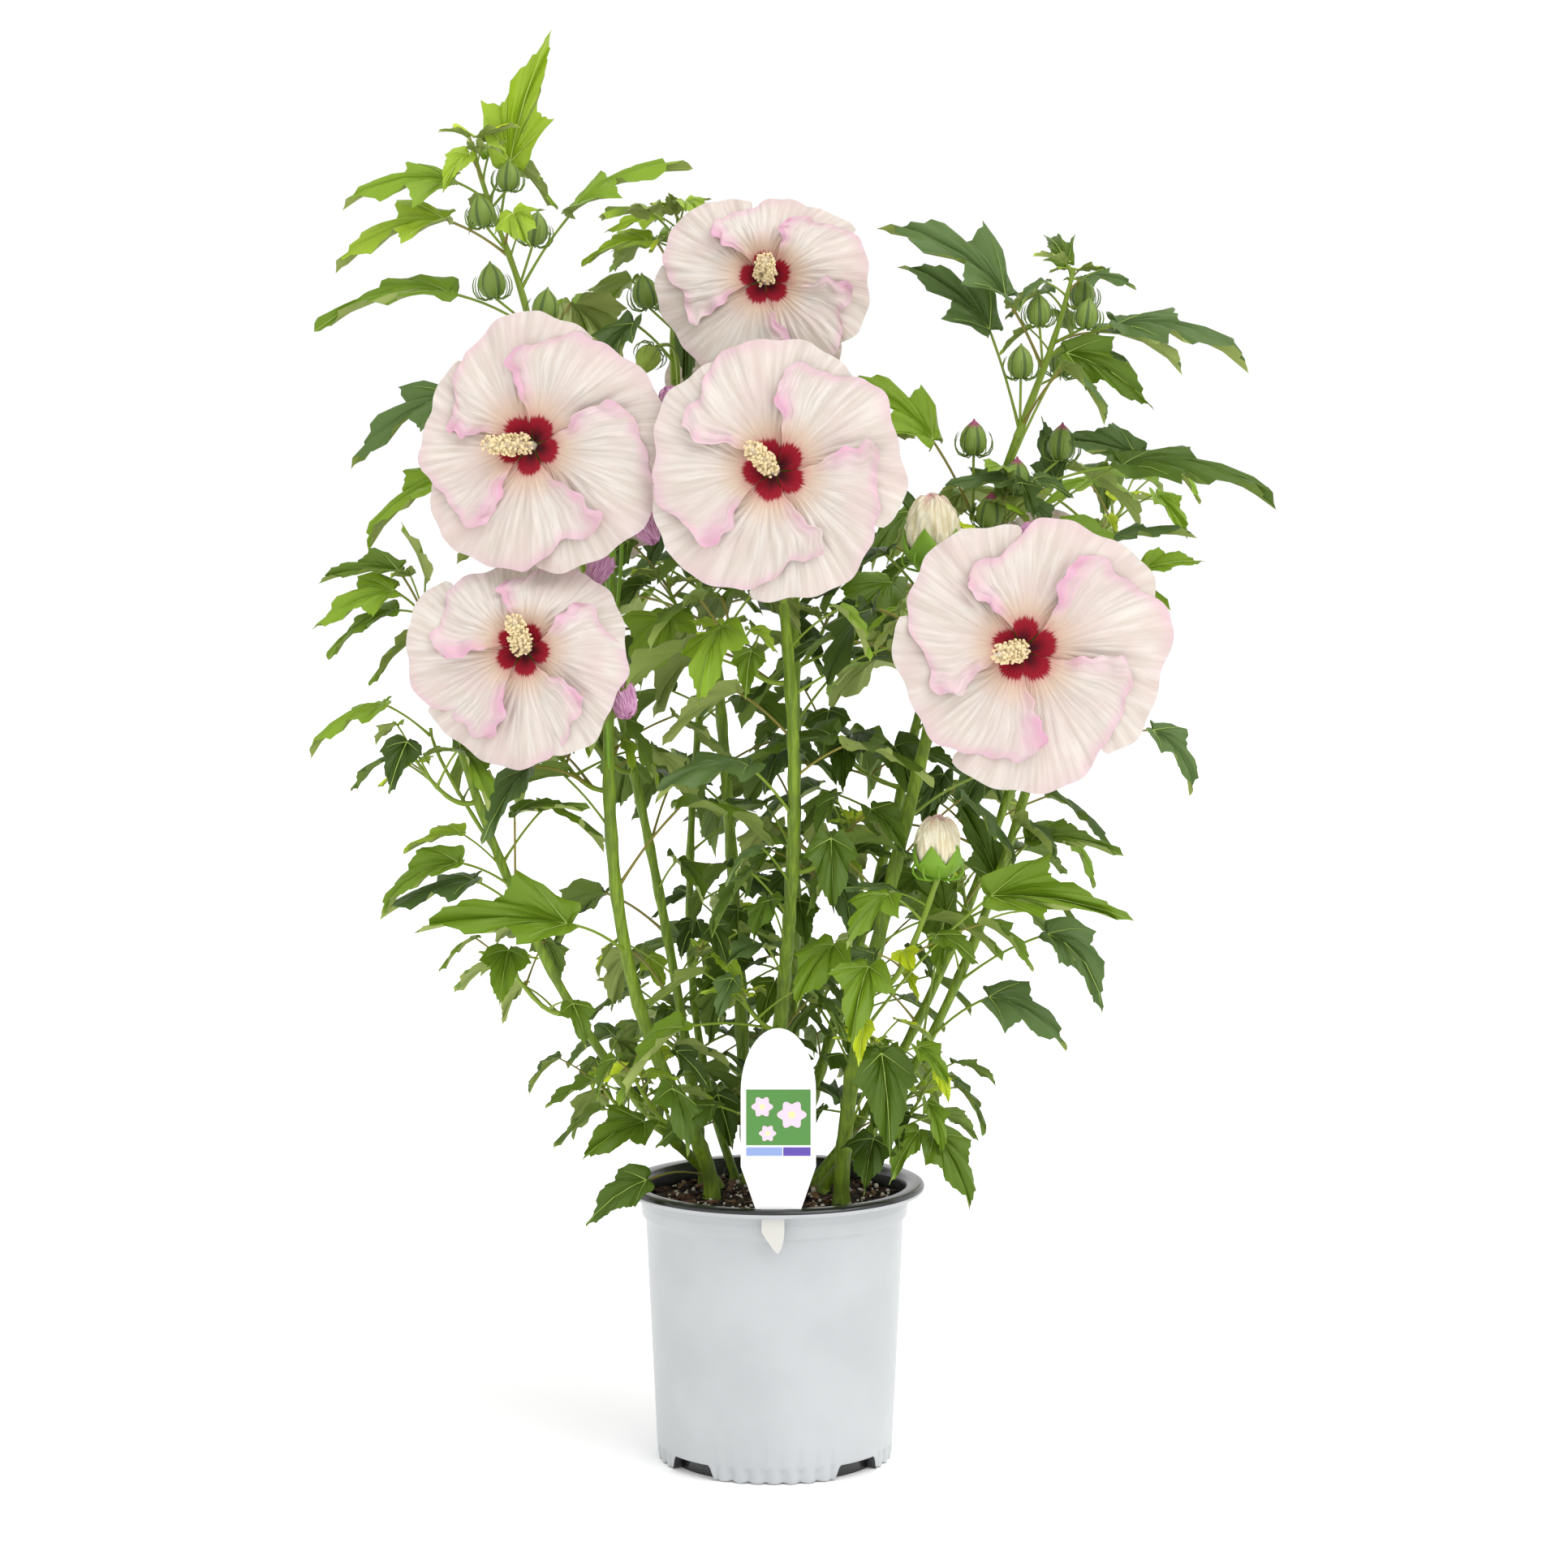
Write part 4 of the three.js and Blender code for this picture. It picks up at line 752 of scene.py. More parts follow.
def grow_fine_on_twig(twig, random):
    turn = 360 * random()
    for _ in range(FINE["twig_leaves"]):
        turn += TURN
        at = mix(*FINE["twig_at"], random())
        blade = blade_at(twig["path"][3][2], mix(*FINE["twig_size"], random()))
        rise = mix(*FINE["twig_rise"], random())
        petiole = blade * FINE["twig_petiole"]
        add_fine_leaf(axis_at(twig, at)[0], turn, rise, blade, petiole, random)
    for _ in range(YOUNG["count"]):
        turn += TURN
        blade = mix(*YOUNG["size"], random())
        tip = axis_at(twig, mix(*YOUNG["at"], random()))[0]
        young = dict(
            root=tip,
            side=turn,
            rise=mix(*YOUNG["rise"], random()),
            blade=blade,
            petiole=blade * YOUNG["petiole"],
            pitch=mix(*YOUNG["pitch"], random()),
            curl=mix(*YOUNG["curl"], random()),
            lobing=YOUNG["lobing"],
        )
        if not (is_outside(leaf_samples(young)[:, :3]) or hides_bud(young) or is_in_opening(young)):
            leaves.append(young)


def grow_fine():
    random = draws(SEED * 3)
    for name, limb in limbs.items():
        grow_fine_on_limb(name, limb, random)
    for twig in list(twigs):
        grow_fine_on_twig(twig, random)


def add_single(row, start):
    """A leaf whose blade starts where its row says, on a stalk from a start."""
    run = vec(row["base"]) - start
    petiole = np.linalg.norm(run)
    rise = math.degrees(math.asin(run[2] / petiole))
    along = math.degrees(math.atan2(run[1], run[0]))
    leaves.append(dict(row, root=start, along=along, rise=rise, petiole=petiole))


def grow_sprays():
    for row in SPRAYS:
        root, direction = axis_at(limbs[row["on"]], row["at"])
        end = vec(row["to"])
        path = vec([root, root + direction * SPRAY["start"], end - UP * SPRAY["rise"], end])
        twigs.append(dict(name="spray", path=path, radii=SPRAY["radii"], steps=TWIG_STEPS))
        for leaf in row["leaves"]:
            add_single(leaf, end - UP * SPRAY["leaves_from"])
    for row in SINGLES:
        add_single(row, axis_at(limbs[row["on"]], row["at"])[0])


def grow_ripe_buds():
    for row in RIPE_BUDS:
        root = axis_at(limbs[row["on"]], row["at"])[0]
        buds.append(dict(row, root=root, height=row["size"] * BUD["tall"], is_ripe=True))


def redraw(solid_leaves):
    """Leaves of the solids that are drawn in another shape: the top one, and the lower ones."""
    for leaf in solid_leaves:
        if leaf["pitch"] == TOP_LEAF_PITCH:
            leaf.update(TOP_BLADE)
        elif is_in_opening(leaf):
            leaf["blade"] *= LOW_BLADE["open"]
        elif leaf["root"][2] < LOW_BLADE["height"]:
            leaf["blade"] *= LOW_BLADE["shut"]


grow_limbs()
grow_blooms()
grow_tops()
grow_bud_twigs()
grow_tips()
grow_sides()
solid_leaves = list(leaves)
grow_fine()
grow_sprays()
grow_ripe_buds()
redraw(solid_leaves)


# Meshes: batches of points and triangles, each triangle with a material number
RIM_ANGLE = 75


class Batch:
    def __init__(self):
        self.points, self.triangles, self.slots, self.maps = [], [], [], {}
        self.count = 0

    def add(self, points, triangles, slot=0, **maps):
        self.points.append(points)
        self.triangles.append(np.asarray(triangles) + self.count)
        self.slots.append(np.broadcast_to(np.asarray(slot), len(triangles)))
        for name, values in maps.items():
            self.maps.setdefault(name, []).append(values)
        self.count += len(points)

    def piece(self, name, paints, replaced=(), slot=None, is_smooth=True):
        points, triangles = np.concatenate(self.points), np.concatenate(self.triangles)
        mesh = bpy.data.meshes.new(name)
        mesh.vertices.add(len(points))
        mesh.vertices.foreach_set("co", (points * MM).astype(np.float32).ravel())
        mesh.loops.add(3 * len(triangles))
        mesh.loops.foreach_set("vertex_index", triangles.astype(np.int32).ravel())
        mesh.polygons.add(len(triangles))
        mesh.polygons.foreach_set("loop_start", np.arange(0, 3 * len(triangles), 3, dtype=np.int32))
        mesh.polygons.foreach_set("material_index", np.concatenate(self.slots).astype(np.int32))
        mesh.polygons.foreach_set("use_smooth", np.full(len(triangles), is_smooth))
        for key, values in self.maps.items():
            layer = mesh.uv_layers.new(name=key)
            layer.data.foreach_set("uv", np.concatenate(values)[triangles].astype(np.float32).ravel())
        for paint in paints:
            mesh.materials.append(paint.material)
        mesh.update(calc_edges=True)
        if is_smooth:
            mesh.set_sharp_from_angle(angle=math.radians(RIM_ANGLE))
        obj = bpy.data.objects.new(name, mesh)
        bpy.context.scene.collection.objects.link(obj)
        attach(obj, "root")
        if replaced:
            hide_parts(*replaced)


def grid_triangles(count, size, is_round=True):
    """Triangles between successive rings, or rows, of the same number of points."""
    i, j = (grid.ravel() for grid in np.mgrid[0:count - 1, 0:size if is_round else size - 1])
    a, b = i * size + j, i * size + (j + 1) % size
    return np.concatenate([np.column_stack([a, b, b + size]), np.column_stack([a, b + size, a + size])])


def loft(rings):
    """A closed skin over rings of points, with a fan over each end."""
    rings = np.asarray(rings, float)
    count, size = rings.shape[:2]
    points = np.concatenate([rings.reshape(-1, 3), [rings[0].mean(0), rings[-1].mean(0)]])
    j = np.arange(size)
    last = (count - 1) * size
    first_fan = np.column_stack([(j + 1) % size, j, np.full(size, count * size)])
    last_fan = np.column_stack([last + j, last + (j + 1) % size, np.full(size, count * size + 1)])
    return points, np.concatenate([grid_triangles(count, size), first_fan, last_fan])


def angles_of(count):
    return 2 * math.pi * np.arange(count) / count


def across(axis):
    """Two directions square to an axis and to each other."""
    side = np.cross(axis, UP)
    side = unit(side) if np.linalg.norm(side) > 0.05 else EAST
    return side, np.cross(axis, side)


def around(side, other, angles):
    return side * np.cos(angles)[:, None] + other * np.sin(angles)[:, None]


def frames_along(points):
    """Side and other directions along a line of points, turning as little as they can."""
    tangents = np.gradient(points, axis=0)
    tangents /= np.linalg.norm(tangents, axis=1)[:, None]
    side, _ = across(tangents[0])
    sides = []
    for tangent in tangents:
        side = unit(side - tangent * side.dot(tangent))
        sides.append(side)
    sides = np.array(sides)
    return sides[:, None], np.cross(tangents, sides)[:, None]


def tube(points, radii, sides):
    points = np.asarray(points, float)
    radii = np.broadcast_to(np.asarray(radii, float), (len(points),))[:, None, None]
    return loft(points[:, None] + around(*frames_along(points), angles_of(sides)) * radii)


def turned(base, axis, profile, sides, ribs=0, depth=0.0):
    """A body turned round an axis: profile rows are radius and height, with ribs pressed into it."""
    axis = unit(axis)
    angles = angles_of(sides)
    out = around(*across(axis), angles) * (1 + depth * np.cos(ribs * angles))[:, None]
    return loft([base + axis * height + out * radius for radius, height in profile])


# Materials
SOCKETS = dict(
    coat="Coat Weight", subsurface="Subsurface Weight", sheen="Sheen Weight", specular="Specular IOR Level",
    glow="Emission Strength",
)


def linear(code):
    values = [int(code[i:i + 2], 16) / 255 for i in (1, 3, 5)]
    return (*[v / 12.92 if v <= 0.04045 else ((v + 0.055) / 1.055) ** 2.4 for v in values], 1)


class Paint:
    """A material and its nodes. A colour is a code or the output of a node."""

    def __init__(self, name, color, roughness, **looks):
        self.material = bpy.data.materials.new(name)
        self.material.use_nodes = True
        self.shader = self.material.node_tree.nodes["Principled BSDF"]
        self.fill(self.shader, {
            "Base Color": color, "Roughness": roughness, "Subsurface Radius": (0.006, 0.003, 0.002),
            "Subsurface Scale": 0.6, **{SOCKETS[key]: value for key, value in looks.items()},
        })

    def fill(self, node, values):
        """Sockets of a node get a number or colour, or are linked to an output."""
        for key, value in values.items():
            if isinstance(value, bpy.types.NodeSocket):
                self.material.node_tree.links.new(value, node.inputs[key])
            else:
                node.inputs[key].default_value = linear(value) if isinstance(value, str) else value

    def node(self, kind, values, output=0, **settings):
        made = self.material.node_tree.nodes.new("ShaderNode" + kind)
        for key, value in settings.items():
            setattr(made, key, value)
        self.fill(made, values)
        return made.outputs[output]

    def math(self, operation, one, two):
        return self.node("Math", {0: one, 1: two}, operation=operation)

    def times(self, one, two):
        return self.math("MULTIPLY", one, two)

    def plus(self, one, two):
        return self.math("ADD", one, two)

    def minus(self, one, two):
        return self.math("SUBTRACT", one, two)

    def ramp(self, value, low, high):
        limits = {"Value": value, "From Min": low, "From Max": high}
        return self.node("MapRange", limits, "Result", interpolation_type="SMOOTHSTEP")

    def mixed(self, factor, one, two):
        return self.node("Mix", {0: factor, 6: one, 7: two}, 2, data_type="RGBA")

    def noise(self, scale, detail=3.0, vector=None):
        place = self.node("TexCoord", {}, "Object") if vector is None else vector
        return self.node("TexNoise", {"Scale": scale, "Detail": detail, "Vector": place}, "Fac")

    def streaks(self, *ways):
        """Streaks over a space whose ways are outputs, each with its scale."""
        space = {axis: self.times(*way) for axis, way in zip("XYZ", ways)}
        return self.noise(1.0, 4.0, self.node("CombineXYZ", space))

    def map_parts(self, name):
        place = self.node("UVMap", {}, "UV", uv_map=name)
        parts = self.node("SeparateXYZ", {"Vector": place}).node.outputs
        return parts["X"], parts["Y"]

    def color(self, color):
        self.fill(self.shader, {"Base Color": color})
        return self

    def bump(self, height, strength, distance):
        values = {"Strength": strength, "Distance": distance, "Height": height}
        self.fill(self.shader, {"Normal": self.node("Bump", values, "Normal")})
        return self

    def grain(self, scale, strength, distance, detail=3.0):
        return self.bump(self.noise(scale, detail), strength, distance)


def plant_paint(name, color, roughness, **looks):
    return Paint(name, color, roughness, **looks).grain(900, 0.25, 0.0004)


def stem_paint():
    paint = Paint("stem_skin", "#7c9620", 0.5, subsurface=0.05)
    place = paint.node("TexCoord", {}, "Object")
    streak = paint.noise(420, vector=paint.node("Mapping", {"Scale": (1, 1, 0.12), "Vector": place}))
    color = paint.mixed(paint.ramp(streak, 0.35, 0.7), "#637f0c", "#849f1e")
    color = paint.mixed(paint.ramp(paint.noise(28), 0.5, 0.75), color, "#5c701a")
    return paint.color(color).bump(streak, 0.3, 0.0006)


def petal_paint():
    """Blush white petals: grey streaks that are veins and painted shade of the pleats, greyish blotches of
    painted shade, a crimson eye with feathered edges, a warm ring round it, and pink margins.
    """
    paint = Paint("petal", "#e2d6cc", 0.6, subsurface=0.1, sheen=0.05, specular=0.25)
    aside, out = paint.map_parts("petal")
    reach, chance = paint.map_parts("reach")
    veins = paint.streaks((aside, 44), (out, 2.0), (chance, 90))
    cloud = paint.noise(26)
    # Darker grey streaks: partly the veins' own colour, partly painted shade of the pleats.
    color = paint.mixed(paint.ramp(veins, 0.34, 0.68), "#cdc1b7", "#ded5cd")
    # Greyish mauve blotches: painted shade of the crumpled petal.
    color = paint.mixed(paint.times(paint.ramp(cloud, 0.42, 0.72), 0.75), color, "#d3bfb9")
    color = paint.mixed(paint.ramp(reach, 0.22, 0.5), "#d8bba5", color)

    stray = paint.minus(veins, 0.5)
    feather = paint.times(stray, 0.16)
    rim = paint.times(paint.ramp(paint.plus(out, feather), 0.86, 1.04), paint.ramp(aside, 0.1, 0.75))
    inward = paint.plus(aside, paint.times(feather, 1.3))
    edge = paint.times(paint.ramp(inward, 0.8, 1.02), paint.ramp(out, 0.3, 0.55))
    edge = paint.times(edge, paint.ramp(cloud, 0.25, 0.6))
    margin = paint.math("MAXIMUM", paint.times(rim, 0.7), edge)
    color = paint.mixed(paint.times(margin, 0.9), color, "#d9a0bc")

    spread = paint.minus(reach, paint.times(stray, 0.1))
    color = paint.mixed(paint.times(paint.ramp(spread, 0.31, 0.22), 0.45), color, "#d08a8c")
    from_middle = paint.minus(aside, 0.56)
    spread = paint.plus(spread, paint.times(paint.times(from_middle, from_middle), 0.26))
    deep = paint.mixed(paint.ramp(spread, 0.07, 0.2), "#4a0414", "#9a0524")
    color = paint.mixed(paint.ramp(spread, 0.258, 0.228), color, deep)
    return paint.color(color).bump(veins, 0.6, 0.0022)


def rolled_paint(name, light, deep, tip):
    """Rolled petals: a light tone streaked with a deeper one, with tinted veins towards the tip."""
    paint = Paint(name, light, 0.6, subsurface=0.1)
    round_by, high = paint.map_parts("OFBake")
    streak = paint.streaks((round_by, 30), (high, 3.5))
    color = paint.mixed(paint.ramp(streak, 0.38, 0.62), deep, light)
    color = paint.mixed(paint.times(paint.ramp(high, 0.5, 0.95), paint.ramp(streak, 0.62, 0.4)), color, tip)
    return paint.color(color).bump(streak, 0.6, 0.0016)


def pot_paint():
    paint = Paint("pot_white", "#bfc2c4", 0.34, coat=0.1)
    color = paint.mixed(paint.ramp(paint.noise(14), 0.35, 0.7), "#b6b9bb", "#bdc0c2")
    return paint.color(color).grain(60, 0.08, 0.002, detail=1.0)


def soil_paint():
    paint = Paint("potting_mix", "#2c1e17", 0.95)
    grains = paint.noise(420)
    color = paint.mixed(paint.ramp(grains, 0.35, 0.7), "#1d130e", "#4a3427")
    return paint.color(color).bump(grains, 1.0, 0.003)


# Blades of leaves: points round the half of a blade, ahead and aside, with shallow and with deep lobes
HALF_BLADE = [
    ((0.0, 0.0), (0.0, 0.0)),
    ((-0.07, 0.07), (-0.05, 0.06)),
    ((-0.08, 0.18), (-0.05, 0.15)),
    ((0.05, 0.29), (0.12, 0.23)),
    ((0.26, 0.37), (0.38, 0.41)),
    ((0.37, 0.27), (0.38, 0.23)),
    ((0.48, 0.235), (0.43, 0.14)),
    ((0.62, 0.195), (0.59, 0.165)),
    ((0.79, 0.10), (0.77, 0.09)),
    ((0.92, 0.025), (0.91, 0.025)),
    ((1.03, 0.0), (1.03, 0.0)),
]
LOBE_TIP = 4
PER_SEGMENT = 3
RINGS = vec((0.2, 0.48, 0.78, 1.0))
TOOTH = 0.045
# Upper leaves are drawn narrower, and every blade has a rounded groove along its middle
NARROW = dict(low=0.93, high=0.84, heights=(600, 760), groove=0.05)
WAVE = dict(puff=0.035, rib=0.009, long=0.045, short=0.016, dome=0.35)
BLADE_THICKNESS = 0.5
# How far a vein stands out at its middle and at its sides, and its half widths at base and tip
VEIN = dict(ridge=0.5, foot=0.18, midrib=0.75, lobe=0.5, tip=0.16)
# The last two greens are darker tones of painted shade, for leaves inside the plant and low in it.
LEAF_GREENS = ("#597416", "#6b891c", "#7f9f24", "#97b42c", "#bed022", "#566f36", "#3a510f", "#4c6616")
UNDER_GREENS = ("#6a8132", "#859748", "#96a558")
VEIN_GREENS = ("#9fb858", "#c4d66c")
LEAF_SPECULAR = 0.28
# The pose of a blade, drawn in this order, and how much of it a blade with a roll of its own has
POSE = dict(tilt=(-0.45, 0.45), twist=(-0.65, 0.65), fold=(0.1, 0.75), unfold=(-0.5, 0.2))
ROLLED_POSE = dict(tilt=0.3, twist=0.3, fold=1, unfold=1)
# Where a leaf's tone changes: its blade when young, heights, and X
TONES = dict(young=36, top=925, high=745, middle=560, right=100)
LEAF_PIECES = ("leaves_low", "leaves_middle", "leaves_high")


def curve_through(points, per_segment):
    """A smooth curve through points, by cubic segments."""
    padded = np.concatenate([[2 * points[0] - points[1]], points, [2 * points[-1] - points[-2]]])
    made = []
    for i in range(len(points) - 1):
        a, b, c, d = padded[i:i + 4]
        square, cube = 2 * a - 5 * b + 4 * c - d, 3 * b - a - 3 * c + d
        for t in np.arange(per_segment) / per_segment:
            made.append(0.5 * (2 * b + (c - a) * t + square * t**2 + cube * t**3))
    return vec([*made, points[-1]])


def blade_template(lobing):
    """Outline of a whole blade, from one side of its base round the tip to the other."""
    keys = vec([mix(vec(shallow), vec(deep), lobing) for shallow, deep in HALF_BLADE])
    lower = curve_through(keys[:LOBE_TIP + 1], PER_SEGMENT)
    upper = curve_through(keys[LOBE_TIP:], PER_SEGMENT)
    half = np.concatenate([lower[1:], upper[1:]])
    lobe = len(lower) - 2
    tooth = np.zeros(len(half))
    tooth[1:-1:2] = TOOTH
    tooth[lobe] = TOOTH
    rim = half * (1 + tooth[:, None] * ((half[:, :1] > 0.02) & (half[:, :1] < 0.9)))
    mirror = vec((1, -1))
    outline = np.concatenate([half, (half * mirror)[-2::-1]])
    toothed = np.concatenate([rim, (rim * mirror)[-2::-1]])
    return outline, toothed, lobe, len(half) - 1


def blade_surface(leaf, random):
    """Rays of a blade by rings: ahead, aside and up, the way the surface leans, and the rays of its veins."""
    outline, toothed, lobe, tip = blade_template(leaf["lobing"])
    shares = RINGS[:, None]
    flat = outline[None] * RINGS[:, None, None]
    flat[-1] = toothed
    flat[..., 1] *= mix(NARROW["low"], NARROW["high"], smooth(*NARROW["heights"], leaf["root"][2]))
    index = np.arange(len(outline))
    from_tip = np.abs(index - tip)
    between = np.where(from_tip < tip - lobe, from_tip / (tip - lobe), (from_tip - (tip - lobe)) / (lobe + 1))
    rising = np.sin(math.pi * np.minimum(shares, 0.98))
    puff = WAVE["puff"] * np.sin(math.pi * between) * rising
    ribbing = WAVE["rib"] * np.where(index % 2, 1, -1) * rising
    wave = WAVE["long"] * shares**2 * np.sin(0.62 * index + 6.3 * random())
    wave = wave + WAVE["short"] * shares**3 * np.sin(1.7 * index)
    forward, left = flat[..., 0], flat[..., 1]
    fold = leaf["fold"] + leaf["unfold"] * forward
    rounded = np.hypot(left, NARROW["groove"])
    sideways = left / rounded
    height = (rounded - NARROW["groove"]) * np.sin(fold) - WAVE["dome"] * left**2 + puff + ribbing + wave
    left = left * np.cos(fold)
    turn = leaf["tilt"] + leaf["twist"] * forward
    left, height = left * np.cos(turn) - height * np.sin(turn), left * np.sin(turn) + height * np.cos(turn)
    return (forward, left, height), turn + fold * sideways, (tip, lobe, len(outline) - 1 - lobe)


def add_blade(batch, leaf, slots, random):
    """A blade with its upper side, its underside and three veins, which take their slots in this order."""
    (forward, left, height), lean, veins = blade_surface(leaf, random)
    count, rays = forward.shape
    thick = BLADE_THICKNESS / leaf["blade"]
    top = blade_points(leaf, forward, left, height).reshape(-1, 3)
    low_left, low_height = left + thick * np.sin(lean), height - thick * np.cos(lean)
    under = blade_points(leaf, forward[:-1], low_left[:-1], low_height[:-1]).reshape(-1, 3)
    centres = [
        blade_points(leaf, 0.0, 0.0, 0.0),
        blade_points(leaf, 0.0, thick * math.sin(leaf["tilt"]), -thick * math.cos(leaf["tilt"])),
    ]
    centre_at = count * rays + (count - 1) * rays
    j = np.arange(rays - 1)
    fan = np.column_stack([np.full(rays - 1, centre_at), j + 1, j])
    upper = np.concatenate([fan, grid_triangles(count, rays, is_round=False)[:, ::-1]])
    low_at = np.arange(count * rays)
    low_at[:(count - 1) * rays] += count * rays
    lower = np.where(upper == centre_at, centre_at + 1, low_at[np.minimum(upper, count * rays - 1)])[:, ::-1]
    points, triangles = np.concatenate([top, under, centres]), np.concatenate([upper, lower])
    batch.add(points, triangles, np.repeat(slots[:2], len(upper)))
    for ray in veins:
        surface = [np.append(0.0, values[:, ray]) for values in (forward, left, height)]
        add_vein(batch, leaf, surface, np.append(leaf["tilt"], lean[:, ray]), ray == veins[0], slots[2])


def add_vein(batch, leaf, surface, lean, is_midrib, slot):
    """A slim ridge on the blade from its base along one of its rays."""
    reach = len(RINGS) + is_midrib
    ahead, aside, lift = (values[:reach] for values in surface)
    lean = lean[:reach]
    wide = np.linspace(VEIN["midrib" if is_midrib else "lobe"], VEIN["tip"], reach) / leaf["blade"]
    bearing = math.atan2(aside[-1], ahead[-1])
    lines = []
    for way in (1, 0, -1):
        out = VEIN["foot" if way else "ridge"] / leaf["blade"]
        beside = math.cos(bearing) * wide * way
        lines.append(blade_points(
            leaf,
            ahead - math.sin(bearing) * wide * way,
            aside + beside * np.cos(lean) - out * np.sin(lean),
            lift + beside * np.sin(lean) + out * np.cos(lean),
        ))
    batch.add(np.concatenate(lines), grid_triangles(3, reach, is_round=False), slot)


def slots_for(leaf, random):
    """A leaf's tones: bright when young, brighter near the top, and dark inside the plant and on some low
    leaves, where the two darkest greens are painted shade.
    """
    x, y, z = leaf["root"]
    # The two darkest greens are painted shade.
    dark = len(LEAF_GREENS) - 2
    inside = smooth(170, 60, abs(x)) * smooth(-90, 30, y) * smooth(820, 640, z)
    if leaf.get("tone") is not None:
        tone = leaf["tone"]
    elif leaf["blade"] < TONES["young"]:
        tone = 4 if random() < 0.5 else 3
    elif z > TONES["top"]:
        tone = 3 if random() < 0.6 else 2
    elif z > TONES["high"]:
        tone = ((5, 0, 5, 1) if x > TONES["right"] else (2, 5, 2, 1))[int(random() * 3.9)]
    # Inside the plant a leaf mostly takes one of the two darkest greens: painted shade.
    elif random() < 0.15 + 0.7 * inside:
        tone = dark + (random() < 0.5)
    elif z > TONES["middle"]:
        tone = (1, 0, 5, 2, 2)[int(random() * 4.5)]
    else:
        # Low leaves sometimes take the darkest green, painted shade.
        tone = (0, 5, 1, 7)[int(random() * 3.9)]
    # A leaf in a green of painted shade also gets the darkest underside.
    pale = 0 if tone >= dark else 1 + int(random() * 2)
    return tone, len(LEAF_GREENS) + pale, len(LEAF_GREENS) + len(UNDER_GREENS) + (tone in (3, 4))


def make_leaves():
    kinds = (
        ("leaf_green_", LEAF_GREENS, 0.46),
        ("leaf_under_", UNDER_GREENS, 0.65),
        ("leaf_vein_", VEIN_GREENS, 0.5),
    )
    greens = [
        plant_paint(name + str(k), code, roughness, specular=LEAF_SPECULAR)
        for name, codes, roughness in kinds
        for k, code in enumerate(codes)
    ]
    random = draws(SEED * 5)
    order = sorted(leaves, key=lambda leaf: leaf["root"][2])
    masses = sorted({twig["name"] for twig in twigs} - {"spray"})
    size = math.ceil(len(order) / len(LEAF_PIECES))
    for k, name in enumerate(LEAF_PIECES):
        batch = Batch()
        for leaf in order[k * size:(k + 1) * size]:
            for key, limits in POSE.items():
                leaf[key] = mix(*limits, random()) * (ROLLED_POSE[key] if "roll" in leaf else 1)
            add_blade(batch, leaf, slots_for(leaf, random), random)
        batch.piece(name, greens, masses[k::len(LEAF_PIECES)], "foliage")


# Limbs, twigs and stalks
RIDGES = dict(count=5, twig=0.12, limb=0.035)
# How far a limb swells at a joint and at the soil, and over what length
JOINT_SWELL = (0.9, 7)
FOOT_SWELL = (1.6, 9)
LIMB_SIDES = 18
TWIG_RINGS = 13
TWIG_SIDES = 8
STALK_SIDES = 6
BUD_STALK = 1.0
STALK_RINGS = 14
# How deep a twig starts in its limb, and how far a leaf's stalk bows
SUNK = 1.2
BOW = 0.05
PETIOLE_RADII = vec((1.9, 1.35, 1.15, 1.1, 1.1, 1.1, 1.2, 0.9))


def make_twigs():
    batch = Batch()
    for twig in [*twigs, *stalks]:
        t = np.linspace(0, 1, TWIG_RINGS)
        radii = mix(*twig["radii"], t) * (1 + RIDGES["twig"] * np.cos(2 * math.pi * RIDGES["count"] * t))
        line = path_point(twig["path"], t)
        line[0] -= unit(line[1] - line[0]) * SUNK
        batch.add(*tube(line, radii, TWIG_SIDES))
    for bud in buds:
        batch.add(*tube(bud_limb(bud)["path"], BUD_STALK, STALK_SIDES))
    t = np.linspace(0, 1, len(PETIOLE_RADII))
    for leaf in leaves:
        base = leaf_frame(leaf)[3]
        line = mix(leaf["root"][None], base[None], t[:, None])
        line[:, 2] += BOW * leaf["petiole"] * np.sin(math.pi * t)
        radii = min(1.0, 0.45 + leaf["blade"] / 160) * PETIOLE_RADII
        batch.add(*tube(line, radii, STALK_SIDES), 1 if leaf["side"] % 7 < 2 else 0)
    greens = [plant_paint("twig_green", "#829b28", 0.5), plant_paint("twig_blush", "#8a8132", 0.5)]
    batch.piece("twigs", greens, (), "stem")


def make_limbs():
    """Limbs with ridges, swollen where a leaf or twig leaves them, and flared at the soil."""
    skin = stem_paint()
    stems = {stem["name"] for stem in STEMS}
    angles = angles_of(LIMB_SIDES)
    for name, limb in limbs.items():
        length = np.linalg.norm(limb["path"][3] - limb["path"][0])
        t = np.linspace(0, 1, max(24, int(length / 6)))
        line = path_point(limb["path"], t)
        radii = mix(*limb["radii"], t)
        for at in joints_on[name]:
            radii = radii + JOINT_SWELL[0] * np.exp(-(((t - at) * length / JOINT_SWELL[1]) ** 2))
        if name in stems:
            radii = radii + FOOT_SWELL[0] * np.exp(-t * length / FOOT_SWELL[1])
            line[0, 2] -= 4
        ridged = 1 + RIDGES["limb"] * np.cos(RIDGES["count"] * angles[None] + 3 * t[:, None])
        swell = radii[:, None] * ridged
        batch = Batch()
        batch.add(*loft(line[:, None] + around(*frames_along(line), angles) * swell[..., None]))
        kind = "stem_" if name in stems else "bough_"
        batch.piece(kind + name + "_skin", [skin], [kind + name], "stem")


# Blooms
PETAL = dict(columns=69, rows=28, lift=3.4, pleats=13, ruffle=5.4, thickness=0.7, longest=1.035)
